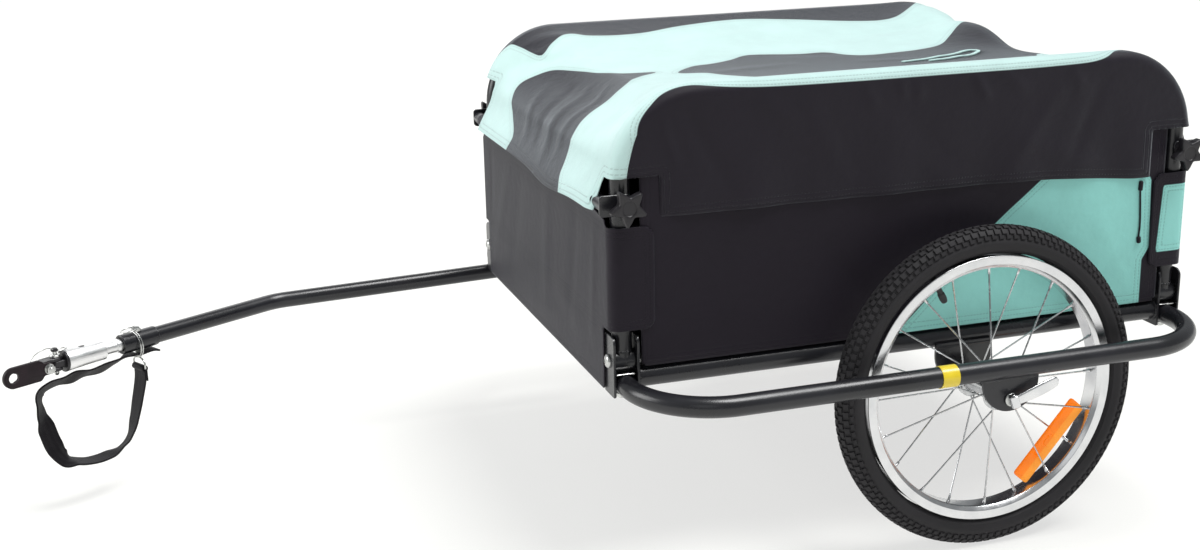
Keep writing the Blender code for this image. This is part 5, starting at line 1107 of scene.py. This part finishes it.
piece("ball_lock_release_button", [turned(release, hitch_at(YAW_AT), Z, 32)], nylon, "black_plastic",
      "ball_lock_pin")
NEAR_FACE = 0.0126
shank_end = NEAR_FACE + 0.0072
bolt = [(0, -0.0094), (0.0054, -0.0094), (0.006, -0.0088), (0.006, -0.0076), (0.0056, -0.0073), (0.003, -0.0073),
        (0.003, NEAR_FACE + 0.0066), (0.0024, shank_end), (0, shank_end)]
shapes = [turned(bolt, hitch_at(BOLT_AT), LEFTWARD, 28),
          hex_nut(0.0105, 0.0052, hitch_at(BOLT_AT, NEAR_FACE + 0.0008), LEFTWARD),
          turned(rod(0.0066, 0, 0.0009), hitch_at(BOLT_AT, NEAR_FACE), LEFTWARD, 32)]
piece("plate_bolt_and_lock_nut", shapes, zinc, "zinc_steel", "fork", "hitch_bolt")

# Hitch plate: 5 mm steel strap with a round end and a hole for the bicycle's axle, its seats spot
# faced proud of the plate. Blanked, edges broken, powder coated.
PLATE_AT, HOLE_AT, PLATE_T, PLATE_HALF, PLATE_HOLE = 0.0098, 0.402, 0.005, 0.0135, 0.0066
outline = np.concatenate([arc(PLATE_HALF, -88, 88, 45),
                          filleted([(0.001, PLATE_HALF), (-0.036, PLATE_HALF), (-0.041, 0.0076), (-0.0545, 0.0076),
                                    (-0.0545, -0.0076), (-0.041, -0.0076), (-0.036, -PLATE_HALF), (0.001, -PLATE_HALF)],
                                   (0.006, 0.004, 0.0062, 0.0062, 0.004, 0.006), 8, closed=False)[1:-1]])
outline = np.concatenate([outline + (np.roll(outline, -1, 0) - outline) * k for k in (0, 0.5)], 1).reshape(-1, 2)
toward = unit(outline)
edge, seat = PLATE_T / 2, PLATE_T / 2 + 0.0004
rows = [(PLATE_HOLE * toward, seat - 0.0004), ((PLATE_HOLE + 0.0004) * toward, seat), (0.0113 * toward, seat),
        (0.0115 * toward, edge), (0.975 * outline, edge), (outline, edge - 0.0005)]
rows += [(flat, -high) for flat, high in rows[::-1]]
grid = np.stack([hitch_at(HOLE_AT, PLATE_AT + high) + flat[:, :1] * FORWARD + flat[:, 1:] * Z for flat, high in rows])
# Electrophoretic coat: thin and nearly black with a trace of brown, duller where it is handled
coat = clouded("black electrophoretic coated steel", (60.0, 5.0), ("#1b1418", "#281e23"), (0.42, 0.6),
               specular_ior_level=0.22)
piece("black_hitch_plate", [skin(grid, around=True, along=True)], coat, "frame_paint", "bike_plate", "hitch_plate")

# Retaining pin of the drawbar's end: zinc plated pin with a pull ring through its head, down through
# collar, coupler tube and the strap's eyelet.
LOCK_AT = 0.222
pin = [(0, 0.0196), (0.003, 0.0196), (0.0044, 0.0188), (0.0048, 0.0172), (0.0058, 0.0166), (0.006, 0.015),
       (0.006, 0.0134), (0.0056, 0.0131), (0.0032, 0.0131), (0.0032, -0.0205), (0.0024, -0.022), (0, -0.022)]
pull = [(222 + 10.5 * (1 - np.cos(k)), 8.5 * np.sin(k), 17.2 - 0.9 * (1 - np.cos(k))) for k in
        np.linspace(0, 2 * np.pi, 12, endpoint=False)]
piece("coupler_retaining_pin", [turned(pin, hitch_at(LOCK_AT), Z, 32), wire(pull, 0.0008, closed=True)], zinc,
      "zinc_steel", "coupler_retaining_pin", "lock_pin")

# Strap ring: chromed wire in two turns round the drawbar's end, and in it a D ring that carries the
# sewn end of the safety strap.
around = [(223.5 + 5.5 * k / 22, 17.0 * np.sin(k * np.pi / 6), -4.2 - 17.6 * np.cos(k * np.pi / 6)) for k in range(23)]
dee = [(222, 0, -23.0), (222.3, 8.5, -24.5), (222.6, 13.6, -29.0), (222.7, 14.2, -34.5), (222.5, 12.5, -36.8),
       (222, 0, -37.0), (221.5, -12.5, -36.8), (221.3, -14.2, -34.5), (221.4, -13.6, -29.0), (221.7, -8.5, -24.5)]
piece("strap_ring_and_dee", [wire(around, 0.0008, per_span=4), wire(dee, 0.0012, closed=True, steps=12)], zinc,
      "zinc_steel", "frame", "strap_ring")

# Safety strap: 25 mm black nylon webbing, woven flat. It leaves the D ring, hangs in a loop and comes
# back under the cylinder to the pin, twisting as it goes; the end at the ring is folded and sewn.
# Black nylon webbing: chevron rows of 1.2 mm yarn, real size, two selvedge cords
webbing, tree, shader = surface_of("black nylon webbing", roughness=0.55, specular_ior_level=0.15, sheen_weight=0.03,
                                   sheen_roughness=0.5)
lengths = add(tree, "UVMap", uv_map="lengths")
hem = add(tree, "Attribute", attribute_name="hem", out="Fac")
chevron = add(tree, "Math", {0: add(tree, "SeparateXYZ", {0: lengths}, out=1), 1: 0.0042}, operation="PINGPONG")
slant = add(tree, "Math", {0: add(tree, "SeparateXYZ", {0: lengths}, out=0), 1: chevron}, operation="ADD")
turns = add(tree, "Math", {0: slant, 1: 2 * np.pi / 0.0024}, operation="MULTIPLY")
yarn = add(tree, "Math", {0: turns}, operation="SINE")
selvedge = add(tree, "MapRange", {0: hem, 1: 0.0018, 2: 0.0012})
height = add(tree, "Math", {0: yarn, 1: selvedge}, operation="ADD")
grain = add(tree, "Bump", {"Height": height, "Strength": 0.5, "Distance": 0.0004})
level = add(tree, "MapRange", {0: yarn, 1: -1.0, 2: 1.0, 3: 0.75, 4: 1.15})
dust = add(tree, "TexNoise", {"Vector": add(tree, "TexCoord", out="Object"), "Scale": 45.0, "Detail": 5.0})
tone = add(tree, "ValToRGB", {0: dust}, stops=((0.3, hexa("#0e0b10")), (0.7, hexa("#171419"))))
tree.links.new(add(tree, "VectorMath", {0: tone, 3: level}, operation="SCALE"),
               shader.inputs["Base Color"])
tree.links.new(grain, shader.inputs["Normal"])
STRAP_WIDE, STRAP_THICK = 0.025, 0.0022
# Each point of the route: length on the hitch's line, height (mm), twist (degrees)
route = np.array([
    (222, -38.8, 0), (223, -54, 0), (230, -79, 3), (238.5, -106, 9), (247.5, -127, 22), (260, -137, 23),
    (281, -142.5, 0), (305, -142.5, -2), (328, -136, -8), (344, -126, -56), (355, -106, -80), (361.5, -83, -80),
    (366, -64, -50), (367.5, -47, -40), (365, -34, -50), (354, -27, -42), (336, -25, -36), (317, -24.5, -50),
    (297, -24.5, -33), (275, -24, -42), (251, -20, -30), (235, -16.8, -10), (222, -16.2, 0), (207, -15.4, 0),
    (197, -18, 0)])
line = np.array([hitch_at(x, 0, z) for x, z in route[:, :2] / 1000])
fine = np.linspace(0, len(line) - 1, 8 * (len(line) - 1) + 1)
tangents = np.gradient(line, axis=0)
k = np.minimum(fine.astype(int), len(line) - 2)
t = (fine - k)[:, None]
middle = ((2 * t ** 3 - 3 * t ** 2 + 1) * line[k] + (t ** 3 - 2 * t ** 2 + t) * tangents[k]
          + (3 * t ** 2 - 2 * t ** 3) * line[k + 1] + (t ** 3 - t ** 2) * tangents[k + 1])
ease = 3 * (fine - k) ** 2 - 2 * (fine - k) ** 3
twist = np.radians(route[k, 2] + ease * (route[k + 1, 2] - route[k, 2]))
run = np.concatenate([[0], np.cumsum(np.linalg.norm(np.diff(middle, axis=0), axis=1))])
along = unit(np.gradient(middle, axis=0))
out = unit(np.cross(along, LEFTWARD))
wide = np.cross(out, along) * np.cos(twist)[:, None] + out * np.sin(twist)[:, None]
across = np.linspace(-1, 1, 21) * STRAP_WIDE / 2
points = middle[:, None] + across[None, :, None] * wide[:, None]
u, v = np.meshgrid(run, across, indexing="ij")
from_pin = np.linalg.norm(points - hitch_at(LOCK_AT, 0, -0.0162), axis=-1)
edge = np.minimum(STRAP_WIDE / 2 - np.abs(v), np.minimum(u, run[-1] - u)) + 0.0001
strap, _ = cloth("safety_strap_webbing", points, np.stack([u, v], -1), 0 * u + 1, u, edge,
                    np.minimum(edge, from_pin - 0.0042), webbing, "frame", "safety_strap", STRAP_THICK)
strap.modifiers["thickness"].offset = 0
eyelet = [(0.0042, -0.0014), (0.0062, -0.0016), (0.007, -0.0011), (0.007, 0.0011), (0.0062, 0.0016), (0.0042, 0.0014),
          (0.0038, 0.0009), (0.0038, -0.0009)]
piece("strap_eyelet", [turned(eyelet, hitch_at(LOCK_AT, 0, -0.0162), np.cross(wide[176], along[176]), 36, loop=True)],
      zinc, "zinc_steel", "frame")
shapes = [plate(slab(0.0085, 0.0122, 0.001, 3), 0.0021, hitch_at(0.2194, 0, -0.0465), -Z, LEFTWARD, 0.0005),
          turned([(0.0023, -0.0122), (0.0044, -0.0122), (0.0044, 0.0122), (0.0023, 0.0122)], hitch_at(0.222, 0, -0.037),
                 LEFTWARD, 28, loop=True)]
fold = piece("strap_sewn_end", shapes, webbing, "webbing", "frame")
